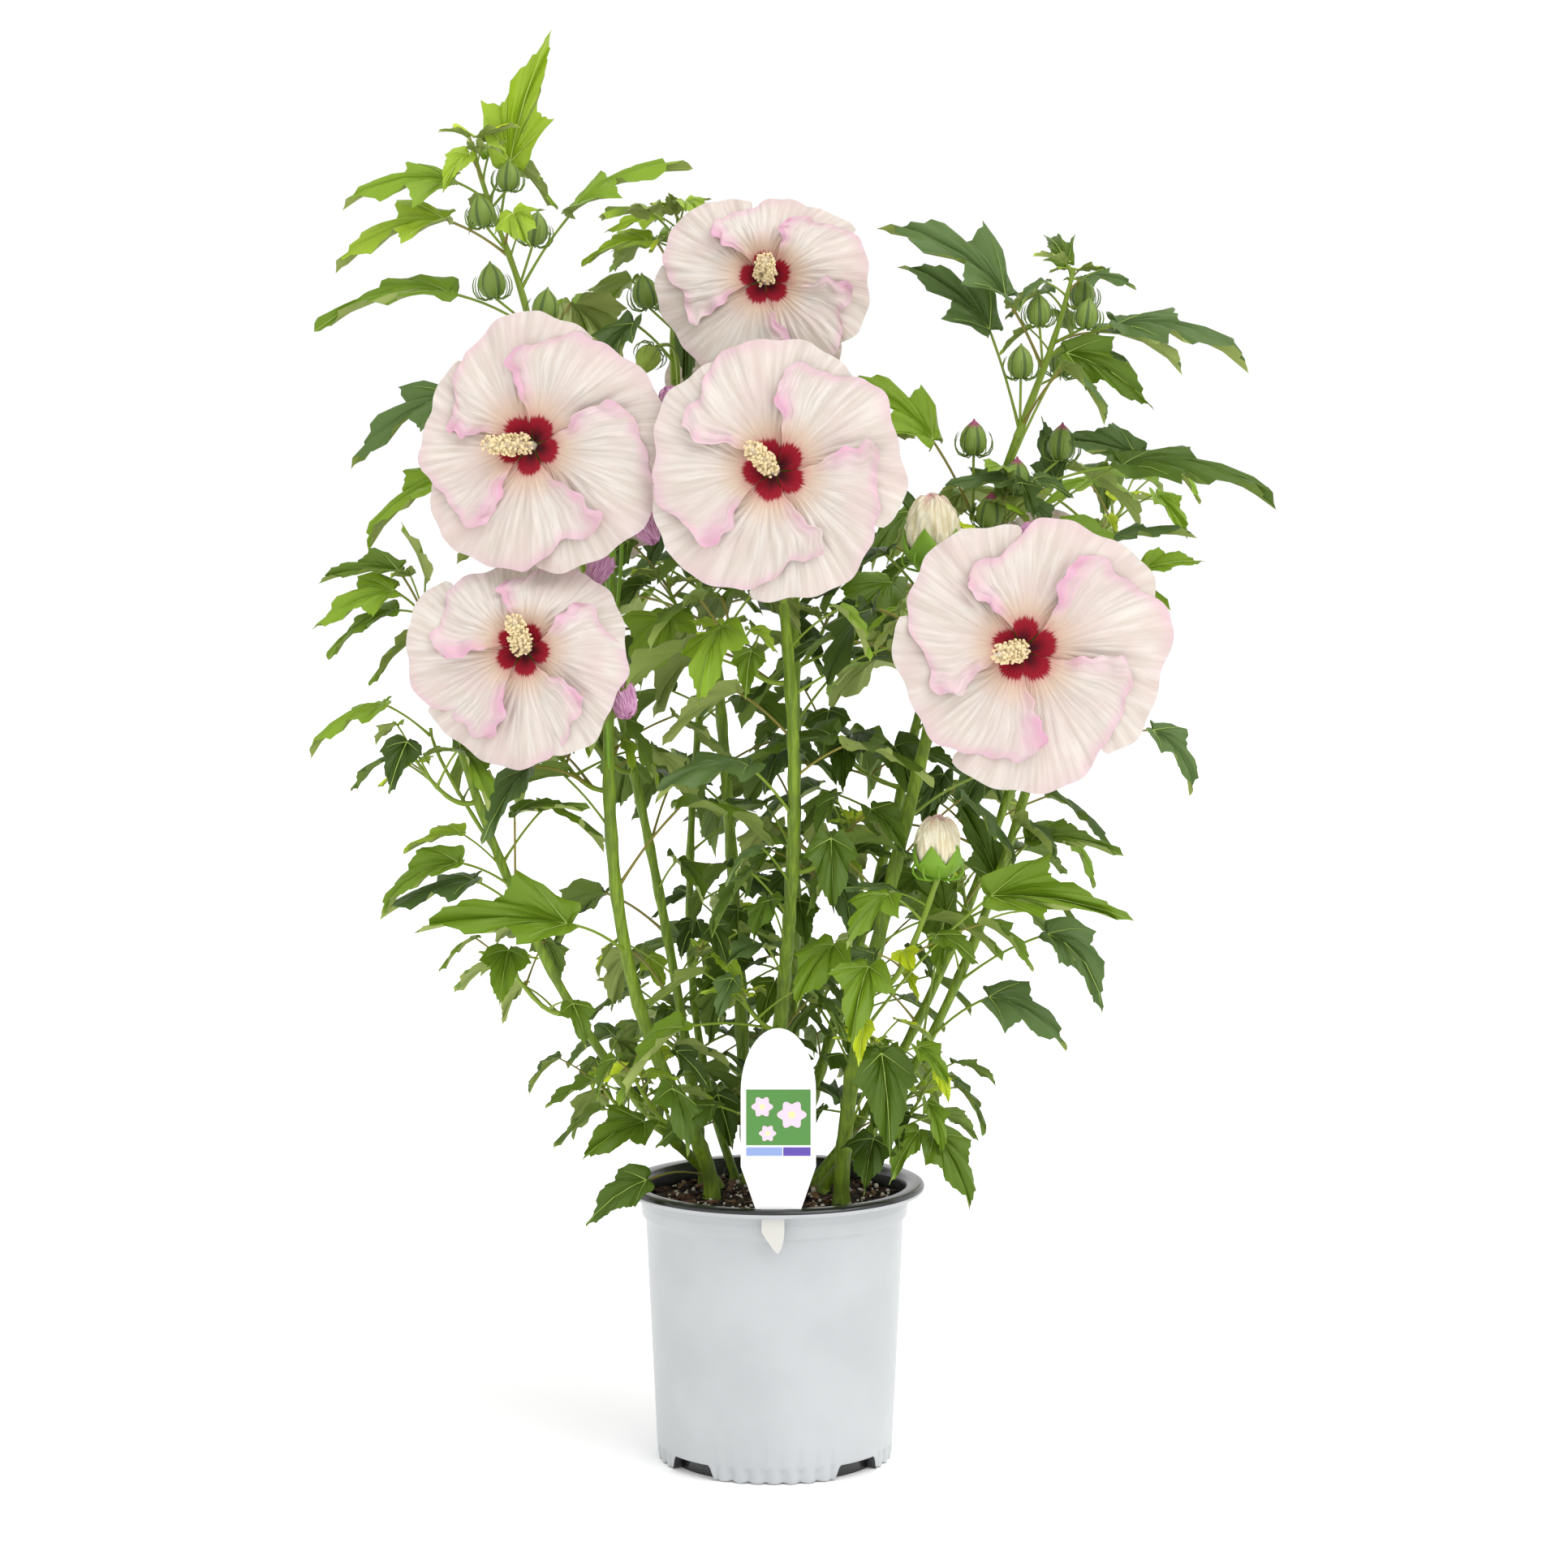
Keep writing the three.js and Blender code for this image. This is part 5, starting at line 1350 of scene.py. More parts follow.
# Across a petal from its hidden edge to its front one: the rim's reach. Along it: its half widths.
PETAL_RIM = [
    (-1, 0.93), (-0.85, 0.985), (-0.5, 1.0), (0, 0.965), (0.2, 0.9), (0.45, 0.82), (0.62, 0.75), (0.84, 0.79),
    (1, 0.72),
]
PETAL_FRONT = [(0, 22), (0.1, 31), (0.17, 35), (0.38, 43), (0.72, 54), (0.94, 52), (1, 48)]
PETAL_HIDDEN = [(0, 22), (0.1, 31), (0.17, 36), (0.35, 47), (0.65, 60), (1, 65)]
# How far the petals of some blooms reach: to the right, up, to the left and down
BLOOM_REACH = dict(
    bloom_top=(1, 0.78, 1.04, 1),
    bloom_left=(1.12, 1, 0.84, 1.07),
    bloom_centre=(1.02, 1, 1, 1),
    bloom_low_left=(0.98, 0.8, 1.07, 1.07),
    bloom_right=(1.1, 0.98, 0.96, 1.02),
    bloom_rear_top=(0.9, 0.9, 0.9, 0.9),
)
# How far the ends of the petals bend forward, in the upper and in the lower half
BLOOM_BEND = dict(bloom_left=(0, 8), bloom_low_left=(-34, 0), bloom_top=(-20, 0))


def along_rows(table, x):
    return np.interp(x, [row[0] for row in table], [row[1] for row in table])


def petal_shape(random):
    """Points of a petal by rows: how far across and out, the angle, the share of the radius, and the lift."""
    u, v = np.meshgrid(np.linspace(-1, 1, PETAL["columns"]), np.linspace(0.02, 1, PETAL["rows"]))
    a, b, c, d, e = (6.283 * random() for _ in range(5))
    cut, wide = mix(0.75, 1.2, random()), mix(0.94, 1.05, random())

    line = u[0]
    rim = 1 - cut * (1 - along_rows(PETAL_RIM, line))
    rim = np.convolve(np.pad(rim, 3, "edge"), np.ones(7) / 7, "valid")
    rim = rim + 0.032 * np.sin(3.1 * line + a) + 0.024 * np.sin(8.3 * line + b)
    rim = rim + 0.011 * np.sin(21 * line + c)
    fade = smooth(0.2, 0.55, v)
    share = v * np.minimum(rim, PETAL["longest"])
    share = share + 0.012 * fade * smooth(0.5, 0.9, v) * np.sin(7 * u + d)

    half = np.where(u < 0, along_rows(PETAL_HIDDEN, v), along_rows(PETAL_FRONT, v) * wide)
    front_part = smooth(0.55, 1, u) * smooth(0.25, 0.55, v)
    angle = half * u + front_part * (1.8 * np.sin(17 * v + e) + 1.4 * np.sin(31 * v + a))

    pleat = np.abs(np.sin(math.pi * PETAL["pleats"] * (u + 0.05 * np.sin(4 * v + e)) / 2))
    swell = np.sin(7.3 * u + 2.2 * v + a) * 0.9 + np.sin(4.1 * u - 6 * v + b) * 0.7
    creases = 0.45 * np.sin(27 * u + 9 * v + c) * np.sin(11 * v + 3 * u + d)
    lift = PETAL["lift"] * u * smooth(0.05, 0.35, v) + fade * (1.2 * pleat + 1.3 * swell + creases)
    lift = lift + smooth(0.72, 1, v) * (1.5 * np.sin(12 * u + d) + 0.8 * np.sin(25 * u + e))
    ruffle = 0.55 + 0.45 * np.sin(16 * v + e) + 0.2 * np.sin(33 * v + b)
    lift = lift + PETAL["ruffle"] * front_part * ruffle
    return u, v, angle, share, lift


def out_of_round(bloom, angle):
    """How much further than its radius a bloom reaches at an angle."""
    right, above, left, below = BLOOM_REACH.get(bloom["name"], (1, 1, 1, 1))
    turned_by = np.radians(bloom["spin"] + angle)
    cosine, sine = np.cos(turned_by), np.sin(turned_by)
    return np.where(cosine > 0, right, left) * cosine**2 + np.where(sine > 0, above, below) * sine**2


def add_petal(batch, bloom, axes, k, random):
    """A thin closed petal, with maps for its pattern, for how far out it lies, and for its own spot."""
    u, v, angle, share, lift = petal_shape(random)
    turned_by = angle + 360 / BLOOM["petals"] * k
    drawn = share * (1 + (out_of_round(bloom, turned_by) - 1) * smooth(0.25, 0.8, share))
    sine = np.sin(np.radians(bloom["spin"] + turned_by))
    high, low = BLOOM_BEND.get(bloom["name"], (0, 0))
    lift = lift + smooth(0.3, 1, share) * np.where(sine > 0, high, low) * np.abs(sine)
    front = bloom_points(bloom, axes, drawn, turned_by, lift).reshape(-1, 3)
    is_edge = np.ones(u.shape, bool)
    is_edge[1:-1, 1:-1] = False
    is_edge = is_edge.ravel()
    inner = ~is_edge
    back = front[inner] - axes["out"] * PETAL["thickness"]
    back_at = np.arange(u.size)
    back_at[inner] = u.size + np.arange(inner.sum())
    triangles = grid_triangles(PETAL["rows"], PETAL["columns"], is_round=False)
    triangles = triangles[~is_edge[triangles].all(axis=1)]
    pattern = np.column_stack([(u.ravel() + 1) / 2, v.ravel()])
    spot = np.column_stack([(k + 0.03 + 0.94 * pattern[:, 0]) / BLOOM["petals"], 0.01 + 0.48 * pattern[:, 1]])
    reach = np.column_stack([share.ravel(), np.full(u.size, random())])
    batch.add(
        np.concatenate([front, back]),
        np.concatenate([triangles, back_at[triangles][:, ::-1]]),
        petal=np.concatenate([pattern, pattern[inner]]),
        reach=np.concatenate([reach, reach[inner]]),
        OFBake=np.concatenate([spot, spot[inner] + vec((0, 0.5))]),
    )


def make_blooms():
    petal = petal_paint()
    columns, cups = Batch(), Batch()
    for index, bloom in enumerate(BLOOMS):
        axes = bloom_frame(bloom)
        random = draws(SEED + 977 * (index + 1))
        batch = Batch()
        for k in range(BLOOM["petals"]):
            add_petal(batch, bloom, axes, k, random)
        batch.piece("petals_" + bloom["name"][6:], [petal], [bloom["name"]], "petals")
        add_column(columns, bloom, axes, random)
        add_cup(cups, axes)
    cream = [
        plant_paint("column_cream", "#ecdfc4", 0.5, subsurface=0.2),
        plant_paint("pollen", "#ead8ab", 0.7),
        plant_paint("stigma", "#e9d2a4", 0.6),
    ]
    columns.piece("stamens", cream, (), "petals")
    cups.piece("calyces", [plant_paint("calyx_green", "#86a648", 0.55)], (), "foliage")


BALL = [(0.55, -0.83), (1.0, -0.15), (0.62, 0.78)]
# The column: its radii, where the pollen sits, how many knobs it has in front and rear blooms, and its tip
COLUMN = dict(
    radii=(3.6, 1.8), sunk=6, pollen=(0.3, 0.99), front=230, rear=110, forward=(0.0, 0.5), reach=(4.2, 8.6),
    size=(1.05, 1.55), sides=10, thread=0.22, forks=5, fork=0.4, tip=1.3,
)
CUP_SIDES = 60
CUP = dict(radii=(3, 8, 11.5, 12.5, 14, 17, 20), length=30, bract_radius=11, bract_length=19, bract_width=0.8)
SPENT_CUP = dict(radii=(2, 5, 7, 8, 8, 7), length=14, behind=3)
FULL_CUP = vec((0.25, 0.7, 0.95, 1.06, 1.1, 1.1, 1.04))
BRACT_LINE = [(0.2, 0.02), (0.7, -0.06), (1.18, 0.06), (1.42, 0.3), (1.44, 0.56), (1.32, 0.78), (1.12, 0.92)]
BRACT_RADII = vec((1.0, 1.1, 1.05, 1.0, 0.85, 0.6, 0.15))
BRACTS = 10
BUD_PROFILE = [
    (0.28, 0.0), (0.74, 0.09), (0.97, 0.27), (1.0, 0.43), (0.9, 0.62), (0.66, 0.79), (0.33, 0.92),
    (0.12, 0.99), (0.04, 1.06),
]


def ball(centre, radius):
    return turned(centre, UP, [(r * radius, h * radius) for r, h in BALL], 6)


def add_column(batch, bloom, axes, random):
    """The column bends aside as it rises, with pollen knobs on short threads and a forked tip."""
    angle, reach = bloom["lean"]
    aside = axes["right"] * math.cos(math.radians(angle)) + axes["above"] * math.sin(math.radians(angle))
    start = axes["eye"] - axes["out"] * (BLOOM["throat"] - 1)
    length = BLOOM["column"] - COLUMN["sunk"]
    path = vec([
        start,
        start + axes["out"] * length / 3,
        start + axes["out"] * length * 0.62 + aside * reach * 0.7,
        start + axes["out"] * length * 0.9 + aside * reach * 1.55,
    ])
    t = np.linspace(0, 1, STALK_RINGS)
    batch.add(*tube(path_point(path, t), mix(*COLUMN["radii"], t), COLUMN["sides"]))
    knobs = COLUMN["front" if bloom["face"][0] > 180 else "rear"]
    for k in range(knobs):
        at = span(*COLUMN["pollen"], k, knobs)
        centre, along = path_point(path, at), path_direction(path, at)
        side = unit(np.cross(along, axes["above"]))
        angle = 2 * math.pi * random()
        out = side * math.cos(angle) + np.cross(along, side) * math.sin(angle)
        out = unit(out + along * mix(*COLUMN["forward"], random()))
        knob = centre + out * mix(*COLUMN["reach"], random()) * (1.15 - 0.3 * at)
        batch.add(*tube(vec([centre, mix(centre, knob, 0.5), knob]), COLUMN["thread"], 3))
        batch.add(*ball(knob, mix(*COLUMN["size"], random())), 1)
    end, along = path_point(path, 1.0), path_direction(path, 1.0)
    for k in range(COLUMN["forks"]):
        side = unit(np.cross(along, heading(360 / COLUMN["forks"] * k, 15)))
        tip = end + along * 4.5 + side * 3
        batch.add(*tube(vec([end, end + along * 3 + side * 0.8, tip]), COLUMN["fork"], 5))
        batch.add(*ball(tip, COLUMN["tip"]), 2)


def add_sepals(batch, base, axis, radii, length):
    """A green cup of five pointed sepals: its wall rises to their tips and turns back down inside."""
    angles = angles_of(CUP_SIDES)
    peak = 1 - np.abs(((angles * 5 / (2 * math.pi)) % 1) - 0.5) * 2
    out = around(*across(axis), angles)
    rings = []
    for k, radius in enumerate(radii):
        share = k / (len(radii) - 1)
        height = length * share * mix(1, 0.5 + 0.62 * peak, smooth(0.2, 1, share))
        rings.append(base + out * radius + axis * height[:, None])
    inside = [ring - out * 0.9 - axis * 0.6 for ring in rings[:1:-1]]
    batch.add(*loft([*rings, *inside]))


def add_bracts(batch, base, axis, radius, length, width, slot=0):
    """Slim bracts that rise in a bow round a bud or a cup, free of it."""
    for out in around(*across(axis), angles_of(BRACTS) + math.pi / BRACTS):
        line = vec([base + out * radius * wide + axis * length * high for wide, high in BRACT_LINE])
        batch.add(*tube(line, BRACT_RADII * width, 4), slot)


def add_cup(batch, axes):
    base = axes["eye"] - axes["out"] * (BLOOM["throat"] + BLOOM["calyx_length"])
    add_sepals(batch, base, axes["out"], CUP["radii"], CUP["length"])
    add_bracts(batch, base, axes["out"], CUP["bract_radius"], CUP["bract_length"], CUP["bract_width"])


# Buds
BUD_SIDES = 40
BUD_LOOK = dict(slim=0.94, lean=(0.05, 0.3), groove=0.05, tip=0.86, bract_length=0.72, bract_width=0.55)
BUD_PAINTS = (
    ("bud_green", "#768e36", 0.55), ("bract_green", "#66802c", 0.55), ("bud_tip", "#9c4766", 0.6),
    ("bud_seam", "#4d6526", 0.6), ("stalk_green", "#8fa53c", 0.5),
)
SLIM_STALK = 1.5


def make_buds():
    random = draws(SEED * 7)
    batch = Batch()
    for bud in buds:
        base = bud_limb(bud)["path"][3] - UP * BUD["sunk"]
        lean = unit(UP + heading(bud["side"], 0) * mix(*BUD_LOOK["lean"], random()))
        half = bud["size"] / 2 * BUD_LOOK["slim"]
        profile = [(r * half, h * bud["height"]) for r, h in BUD_PROFILE]
        points, triangles = turned(base, lean, profile, BUD_SIDES, 5, BUD_LOOK["groove"])
        step = triangles[:, 0] % 8
        is_seam = (step == 3) | (step == 4)
        high = (points[triangles].mean(1) - base) @ lean
        is_tip = bud["is_ripe"] & (high > bud["height"] * BUD_LOOK["tip"])
        batch.add(points, triangles, np.where(is_tip, 2, np.where(is_seam, 3, 0)))
        bract_length = bud["height"] * BUD_LOOK["bract_length"]
        add_bracts(batch, base, lean, half, bract_length, BUD_LOOK["bract_width"], 1)
    add_nodding(batch)
    batch.piece("buds", [plant_paint(*row) for row in BUD_PAINTS], (), "foliage")


def add_nodding(batch):
    """A calyx that nods on its own stalk after its flower has dropped."""
    root, top = axis_at(limbs[NODDING["on"]], NODDING["at"])[0], vec(NODDING["top"])
    place, axis = vec(NODDING["place"]), unit(vec(NODDING["axis"]))
    path = vec([root, mix(root, top, 0.9), top, place])
    batch.add(*tube(path_point(path, np.linspace(0, 1, 16)), SLIM_STALK, TWIG_SIDES), 4)
    radius, height = NODDING["radius"], NODDING["height"]
    profile = [(r * radius, h * height) for r, h in BUD_PROFILE]
    batch.add(*turned(place, axis, profile, BUD_SIDES, 5, NODDING["groove"]), 4)
    add_bracts(batch, place, axis, radius, NODDING["bract_length"], BUD_LOOK["bract_width"], 1)


# Rolled petals of full buds and spent flowers: their profile, how crumpled they are, and their size in points
FULL_PROFILE = [
    (0.3, 0.08), (0.62, 0.13), (0.86, 0.22), (0.97, 0.34), (1.0, 0.48), (0.98, 0.6), (0.92, 0.72),
    (0.8, 0.83), (0.62, 0.92), (0.42, 0.97), (0.3, 0.95), (0.16, 0.99), (0.06, 1.0),
]
FULL_ROLL = dict(crumple=2, size=(80, 32))
SPENT_ROLL = dict(crumple=3.2, size=(60, 24))


def rolled_petals(base, axis, radius, length, random, crumple, size):
    """Petals rolled up in a spiral, as points, triangles and a map of how far round and how high."""
    sides, rows_up = size
    angles = angles_of(sides)
    out = around(*across(axis), angles)
    a, b, c = (6.283 * random() for _ in range(3))
    steps = np.arange(len(FULL_PROFILE))
    rings = []
    for at in np.linspace(0, steps[-1], rows_up):
        wide, high = (np.interp(at, steps, values) for values in zip(*FULL_PROFILE))
        turn = angles * 5 + 4.5 * high + a
        overlap = ((turn / (2 * math.pi)) % 1 - 0.5) * 0.12
        creases = 0.025 * np.sin(23 * angles + 5 * np.sin(6 * high + b))
        creases = creases + 0.02 * np.sin(11 * angles + 14 * high + c)
        swell = wide * (1 + overlap + creases * crumple)
        top = length * (high + 0.015 * crumple * np.sin(4 * angles + 8 * high + b))
        rings.append(base + out * (radius * swell)[:, None] + axis * top[:, None])
    u, v = np.tile(np.abs(angles / math.pi - 1), rows_up), np.repeat(np.linspace(0, 1, rows_up), sides)
    return *loft(rings), np.column_stack([np.append(u, [0.5, 0.5]), np.append(v, [0, 1])])


def make_full_buds():
    random = draws(SEED * 13)
    cream = rolled_paint("rolled_cream", "#f3ecd2", "#dccfa6", "#c67a8e")
    cups = Batch()
    for bud, row in zip(full_buds, BUD_TWIGS):
        base = bud_limb(bud)["path"][3] - UP * BUD["sunk"]
        half, height = bud["size"] / 2 * row["swell"], bud["height"] * row["grown"]
        batch = Batch()
        points, triangles, spots = rolled_petals(base, UP, half * 0.96, height, random, **FULL_ROLL)
        batch.add(points, triangles, OFBake=spots)
        batch.piece("full_" + row["name"][9:], [cream], (), "petals")
        add_sepals(cups, base, UP, half * FULL_CUP, height * 0.5)
        add_bracts(cups, base, UP, half * 0.8, height * 0.3, 0.8)
    spent = Batch()
    for row in SPENT:
        axis = unit(vec(row["axis"]))
        base = vec(row["place"]) - axis * row["length"] * 0.5
        size = row["radius"], row["length"]
        points, triangles, spots = rolled_petals(base, axis, *size, random, **SPENT_ROLL)
        spent.add(points, triangles, OFBake=spots)
        add_sepals(cups, base - axis * SPENT_CUP["behind"], axis, SPENT_CUP["radii"], SPENT_CUP["length"])
        root = axis_at(limbs[row["on"]], row["at"])[0]
        end = base - axis * 2
        third = np.linalg.norm(end - root) / 3
        stalk = vec([root, root + UP * third, end - axis * third, end])
        cups.add(*tube(path_point(stalk, np.linspace(0, 1, STALK_RINGS)), SLIM_STALK, TWIG_SIDES))
    spent.piece("spent_flowers", [rolled_paint("spent_petal", "#dcaaca", "#b878a2", "#96507c")], (), "petals")
    cups.piece("full_bud_cups", [plant_paint("cup_green", "#76a020", 0.55)], (), "foliage")


# Pot: a fluted foot with notches, a stepped collar and a rolled lip, white outside and black inside
POT_SIDES = 288
FOOT_SHARES = (0.0, 0.12, 0.4, 0.7, 0.82, 0.92, 1.0)
FOOT_EDGE = 0.6
WALL_HEIGHTS = (40, 90, 140, 187)
# The collar and the lip over it: radius and height
COLLAR = [
    (100, 188.5), (101, 190), (102.4, 190.8), (103, 192), (103, 198), (103.7, 198.8), (103.7, 201),
    (103.4, 206), (106, 207.6), (113, 208.4), (115.2, 209.6), (116, 210.8), (116.2, 212.2),
]
LIP = [(116.2, 212.7), (115.5, 214.6), (113.4, 215.5), (106, 215.4), (103.4, 214.8), (101.8, 213), (101, 209)]


def pot_rings():
    """Rings of the pot: black ones under its foot, painted shade that shows through the notches, white ones
    up to its lip, and black ones down inside.
    """
    degrees = 360 * np.arange(POT_SIDES) / POT_SIDES
    half_span = 180 / NOTCH["count"]
    from_notch = np.abs((degrees - NOTCH["first"] + half_span) % (2 * half_span) - half_span)
    notch_end = NOTCH["half"] + NOTCH["slope"]
    low = 0.4 + NOTCH["height"] * (1 - smooth(NOTCH["half"], notch_end, from_notch))
    phase = (from_notch - notch_end) / (2 * half_span - 2 * notch_end) * FLUTES["per_foot"] * 2 * math.pi
    flute = np.where(from_notch > notch_end, 1 - np.abs(np.sin(phase / 2)), 0) * FLUTES["depth"]
    out = around(EAST, vec((0, 1, 0)), np.radians(degrees))

    def ring(radius, height):
        heights = np.broadcast_to(height, POT_SIDES)[:, None]
        return out * np.broadcast_to(radius, POT_SIDES)[:, None] + UP * heights

    outer = lambda z: mix(POT["foot"], POT["shoulder"], z / POT["shoulder_height"])
    inner = lambda z: outer(z) - POT["wall"]
    recess = POT["foot"] - POT["recess"]
    # The underside is black as painted shade under the pot, seen through the notches.
    under = [ring(1, 0), ring(recess, 0), ring(recess, low)]
    white = []
    for share in FOOT_SHARES:
        z = mix(low + FLUTES["rise"] * flute, FLUTES["height"] + 2 - FLUTES["drop"] * flute, share)
        pressed = flute * (1 - smooth(0.7, 1.0, share))
        white.append(ring(outer(z) - pressed - (0 if share else FOOT_EDGE), z))
    white += [ring(outer(z), z) for z in WALL_HEIGHTS]
    white += [ring(*row) for row in COLLAR]
    ledge, wide = POT["ledge_height"], POT["ledge_width"]
    inside = [*LIP, (inner(190), 190), (inner(100), 100), (inner(ledge), ledge), (inner(ledge) - wide, ledge)]
    inside += [(inner(ledge) - wide - POT["ledge_slope"], POT["floor"]), (1, POT["floor"])]
    return under, white, [ring(*row) for row in inside]


def make_pot():
    under, white, inside = pot_rings()
    points, triangles = loft([*under, *white, *inside])
    row = triangles.min(1) // POT_SIDES
    is_white = (row >= len(under)) & (row < len(under) + len(white) - 1)
    batch = Batch()
    batch.add(points, triangles, np.where(is_white, 0, 1))
    dark = Paint("pot_black", "#121315", 0.3, coat=0.4).grain(300, 0.08, 0.0004)
    batch.piece("pot_shell", [pot_paint(), dark], ["pot"], "pot")


# Soil: potting mix with bark chips and white stones on it
SOIL_SIDES = 96
SOIL_RINGS = 26
SOIL_SUNK = 1.2
BARKS = ("#3b2820", "#5a3d2c", "#271a14", "#7a5b43")
# Pieces that lie on the soil: how many, how far from its edge, how deep and high, and their size
CHIPS = dict(count=620, margin=5, level=(-2.2, 1.6), size=(4, 13), bias=1.6)
STONES = dict(count=260, margin=4, level=(-0.8, 1.6), size=(0.6, 2.1), bias=1.5)
# A chip: its width and depth as shares of its length, how rough and how tilted it is, and its taper along it
CHIP = dict(wide=(0.3, 0.6), deep=(0.12, 0.22), rough=(0.7, 1.2), tilt=(-28, 28))
CHIP_TAPER = ((-0.5, 0.55), (-0.2, 1.0), (0.25, 0.9), (0.5, 0.45))


def strewn(kind, random):
    """Places on the soil, each with a size that is more often small."""
    for _ in range(kind["count"]):
        radius, angle = (SOIL["radius"] - kind["margin"]) * math.sqrt(random()), 360 * random()
        place = heading(angle, 0) * radius + UP * (SOIL["top"] + mix(*kind["level"], random()))
        yield place, mix(*kind["size"], random() ** kind["bias"])


def make_soil():
    random = draws(SEED * 11)
    out = around(EAST, vec((0, 1, 0)), angles_of(SOIL_SIDES))
    rings = [out * SOIL["radius"] + UP * SOIL["foot"]]
    for share in np.linspace(1, 0.02, SOIL_RINGS):
        ring = out * share * SOIL["radius"]
        x, y = ring[:, 0], ring[:, 1]
        rough = 1.3 * np.sin(0.31 * x + 1.1) * np.sin(0.27 * y)
        rough = rough + 0.8 * np.sin(0.83 * x) * np.sin(0.71 * y + 2)
        ring[:, 2] = mix(SOIL["top"], SOIL["edge_top"], smooth(0.86, 1, share)) - SOIL_SUNK
        ring[:, 2] += rough * min(1, 6 * (1 - share) + 0.3)
        rings.append(ring)
    batch = Batch()
    batch.add(*loft(rings))
    batch.piece("potting_mix", [soil_paint()], ["soil"], "soil")
    chips, stones = Batch(), Batch()
    for place, size in strewn(CHIPS, random):
        add_chip(chips, place, size, random)
    for place, size in strewn(STONES, random):
        stones.add(*ball(place, size))
    browns = [Paint("bark_" + str(k), code, 0.85).grain(500, 0.6, 0.001) for k, code in enumerate(BARKS)]
    chips.piece("bark_chips", browns, (), "soil", is_smooth=False)
    stones.piece("perlite", [Paint("perlite_white", "#e4ddd2", 0.9).grain(900, 0.5, 0.0005)], (), "soil")


def add_chip(batch, place, length, random):
    along, tilt = heading(360 * random(), mix(*CHIP["tilt"], random())), heading(360 * random(), 70)
    side = unit(np.cross(along, tilt))
    thick = np.cross(along, side)
    wide, deep = length * mix(*CHIP["wide"], random()), length * mix(*CHIP["deep"], random())
    rings = []
    for share, taper in CHIP_TAPER:
        rings.append([
            place + along * length * share + side * wide / 2 * taper * a * mix(*CHIP["rough"], random())
            + thick * deep / 2 * taper * b
            for a, b in ((1, 1), (-1, 1), (-1, -1), (1, -1))
        ])
    batch.add(*loft(rings), int(random() * (len(BARKS) - 0.01)))


# Tag: a white plate with a plain coloured panel of simple shapes
def plate(outline, y, thickness):
    """A flat plate in the XZ plane from outline points, which run round it."""
    front = np.column_stack([outline[:, 0], np.full(len(outline), y - thickness / 2), outline[:, 1]])
    back = front + vec((0, thickness, 0))
    return loft([front, back])


def tag_outline():
    half, foot = TAG["width"] / 2, TAG["foot_width"] / 2
    arc = np.radians(np.linspace(0, 180, 25))
    head = np.column_stack([half * np.cos(arc), mix(TAG["side_top"], TAG["top"], np.sin(arc))])
    right = [(foot, TAG["foot"]), (half, TAG["taper_top"])]
    left = [(-half, TAG["taper_top"]), (-foot, TAG["foot"])]
    return vec([*right, *head, *left]) + vec((TAG["x"], 0))


def tongue_outline():
    """The tongue under the plate, with a tip that bends a little to one side."""
    half = TAG["tongue_width"] / 2
    turns = np.linspace(-1, 1, 17)
    drop = TAG["tongue_taper"] + 8 - TAG["tongue_end"]
    low = [(half * t + 3.4 * (1 - t * t), TAG["tongue_end"] + drop * abs(t) ** 1.5) for t in turns]
    return vec([(-half, TAG["foot"] + 4), *low, (half, TAG["foot"] + 4)]) + vec((TAG["x"] - 4, 0))


def box_outline(left, right, low, high):
    return vec([(left, low), (right, low), (right, high), (left, high)]) + vec((TAG["x"], 0))


def disc_outline(x, z, radius, petals=0, depth=0.0):
    angles = np.radians(np.arange(0, 360, 6))
    wide = radius * (1 + depth * np.cos(petals * angles))
    return np.column_stack([TAG["x"] + x + wide * np.cos(angles), z + wide * np.sin(angles)])


# The tag's tones, and the coloured fields on its panel: from and to in X and in Z, and their tone
TAG_TONES = dict(
    white="#f3f3f4", green="#4f8a3c", periwinkle="#8ea2d6", violet="#5b45a6", pink="#f1cfe0", cream="#f5e6a8",
    # The tongue's grey, darker than the white plate, is painted shade under the pot's lip.
    tongue="#cfcdc7",
)
TAG_FIELDS = [
    (-24, 24, 264, 306, "green"), (-24, 3, 256, 262.5, "periwinkle"), (3.6, 24, 256, 262.5, "violet"),
]
# How far the fields, the flowers and their eyes stand out from the tag
PROUD = (0.12, 0.3, 0.42)
# The flowers on the panel: place, radius, and radius of the eye
TAG_FLOWERS = [(-12, 293, 7, 2), (10, 287, 9.5, 2.7), (-8, 273, 5.6, 1.7)]


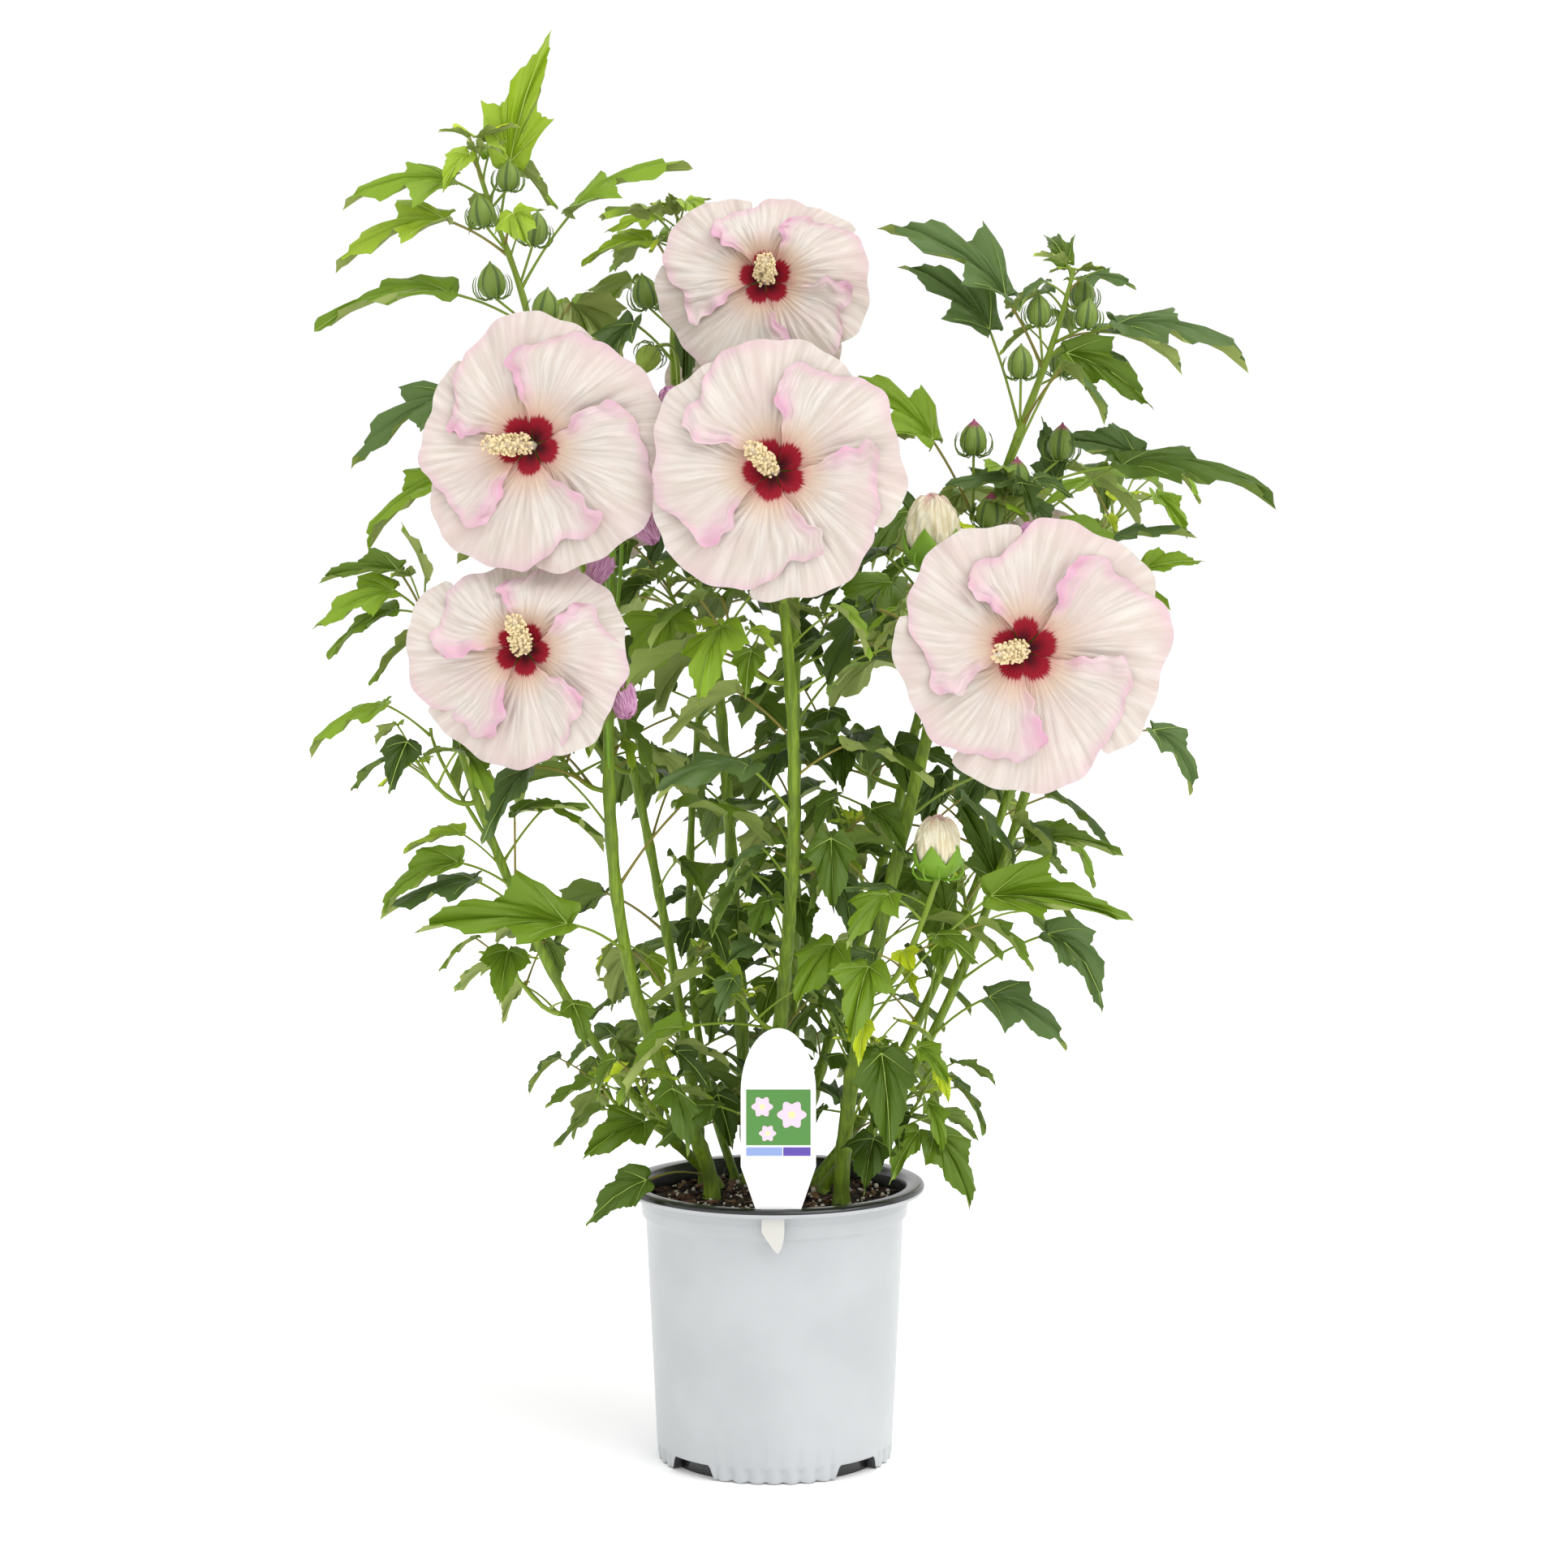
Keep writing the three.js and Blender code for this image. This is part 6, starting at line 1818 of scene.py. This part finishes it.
def make_tag():
    slots = {name: slot for slot, name in enumerate(TAG_TONES)}
    batch = Batch()
    batch.add(*plate(tag_outline(), TAG["y"], TAG["thickness"]), slots["white"])
    # The tongue takes the grey of painted shade under the lip.
    batch.add(*plate(tongue_outline(), TAG["y"] + 0.1, TAG["thickness"]), slots["tongue"])
    front = TAG["y"] - TAG["thickness"] / 2
    panels = [(box_outline(*limits), PROUD[0], tone) for *limits, tone in TAG_FIELDS]
    panels += [(disc_outline(x, z, radius, 6, 0.16), PROUD[1], "pink") for x, z, radius, _ in TAG_FLOWERS]
    panels += [(disc_outline(x, z, eye), PROUD[2], "cream") for x, z, _, eye in TAG_FLOWERS]
    for shape, proud, tone in panels:
        batch.add(*plate(shape, front - proud / 2 + 0.05, proud), slots[tone])
    plates = [Paint("tag_" + name, code, 0.4).grain(200, 0.05, 0.0003) for name, code in TAG_TONES.items()]
    batch.piece("tag_plate", plates, ["plant_tag"], "plant_tag", is_smooth=False)


# Camera, floor and light
FLOOR_REACH = 12
FLOOR_GLOW = 0.1
WORLD_STRENGTH = 1.01
# Suns: how they are turned, their strength, and how wide they are
SUNS = dict(key=((38, 0, 50), 1.25, 50), fill=((60, 0, -50), 0.05, 90))


def make_stage():
    scene = bpy.context.scene
    camera = bpy.data.objects.new("camera", bpy.data.cameras.new("camera"))
    camera.location = vec(CAMERA_PLACE) * MM
    camera.rotation_euler = (math.pi / 2 - CAMERA_PITCH, 0, 0)
    camera.data.lens = CAMERA_LENS
    camera.data.sensor_width = CAMERA_SENSOR
    camera.data.clip_end = CAMERA_END
    scene.collection.objects.link(camera)
    scene.camera = camera

    mesh = bpy.data.meshes.new("floor")
    corners = [(x * FLOOR_REACH, y * FLOOR_REACH, 0) for x, y in ((-1, -1), (1, -1), (1, 1), (-1, 1))]
    mesh.from_pydata(corners, [], [(0, 1, 2, 3)])
    floor = bpy.data.objects.new("floor", mesh)
    white = Paint("floor_white", "#ffffff", 0.9, glow=FLOOR_GLOW)
    white.fill(white.shader, {"Emission Color": "#ffffff"})
    mesh.materials.append(white.material)
    scene.collection.objects.link(floor)

    world = bpy.data.worlds.new("world")
    world.use_nodes = True
    background = world.node_tree.nodes["Background"]
    background.inputs["Color"].default_value = (1, 1, 1, 1)
    background.inputs["Strength"].default_value = WORLD_STRENGTH
    scene.world = world
    for name, (turn, strength, softness) in SUNS.items():
        light = bpy.data.lights.new(name, "SUN")
        light.energy = strength
        light.angle = math.radians(softness)
        sun = bpy.data.objects.new(name, light)
        sun.location = (0, 0, 3)
        sun.rotation_euler = [math.radians(angle) for angle in turn]
        scene.collection.objects.link(sun)
    scene.view_settings.view_transform = "Standard"


make_stage()
make_pot()
make_soil()
make_tag()
make_limbs()
make_twigs()
make_leaves()
make_blooms()
make_buds()
make_full_buds()
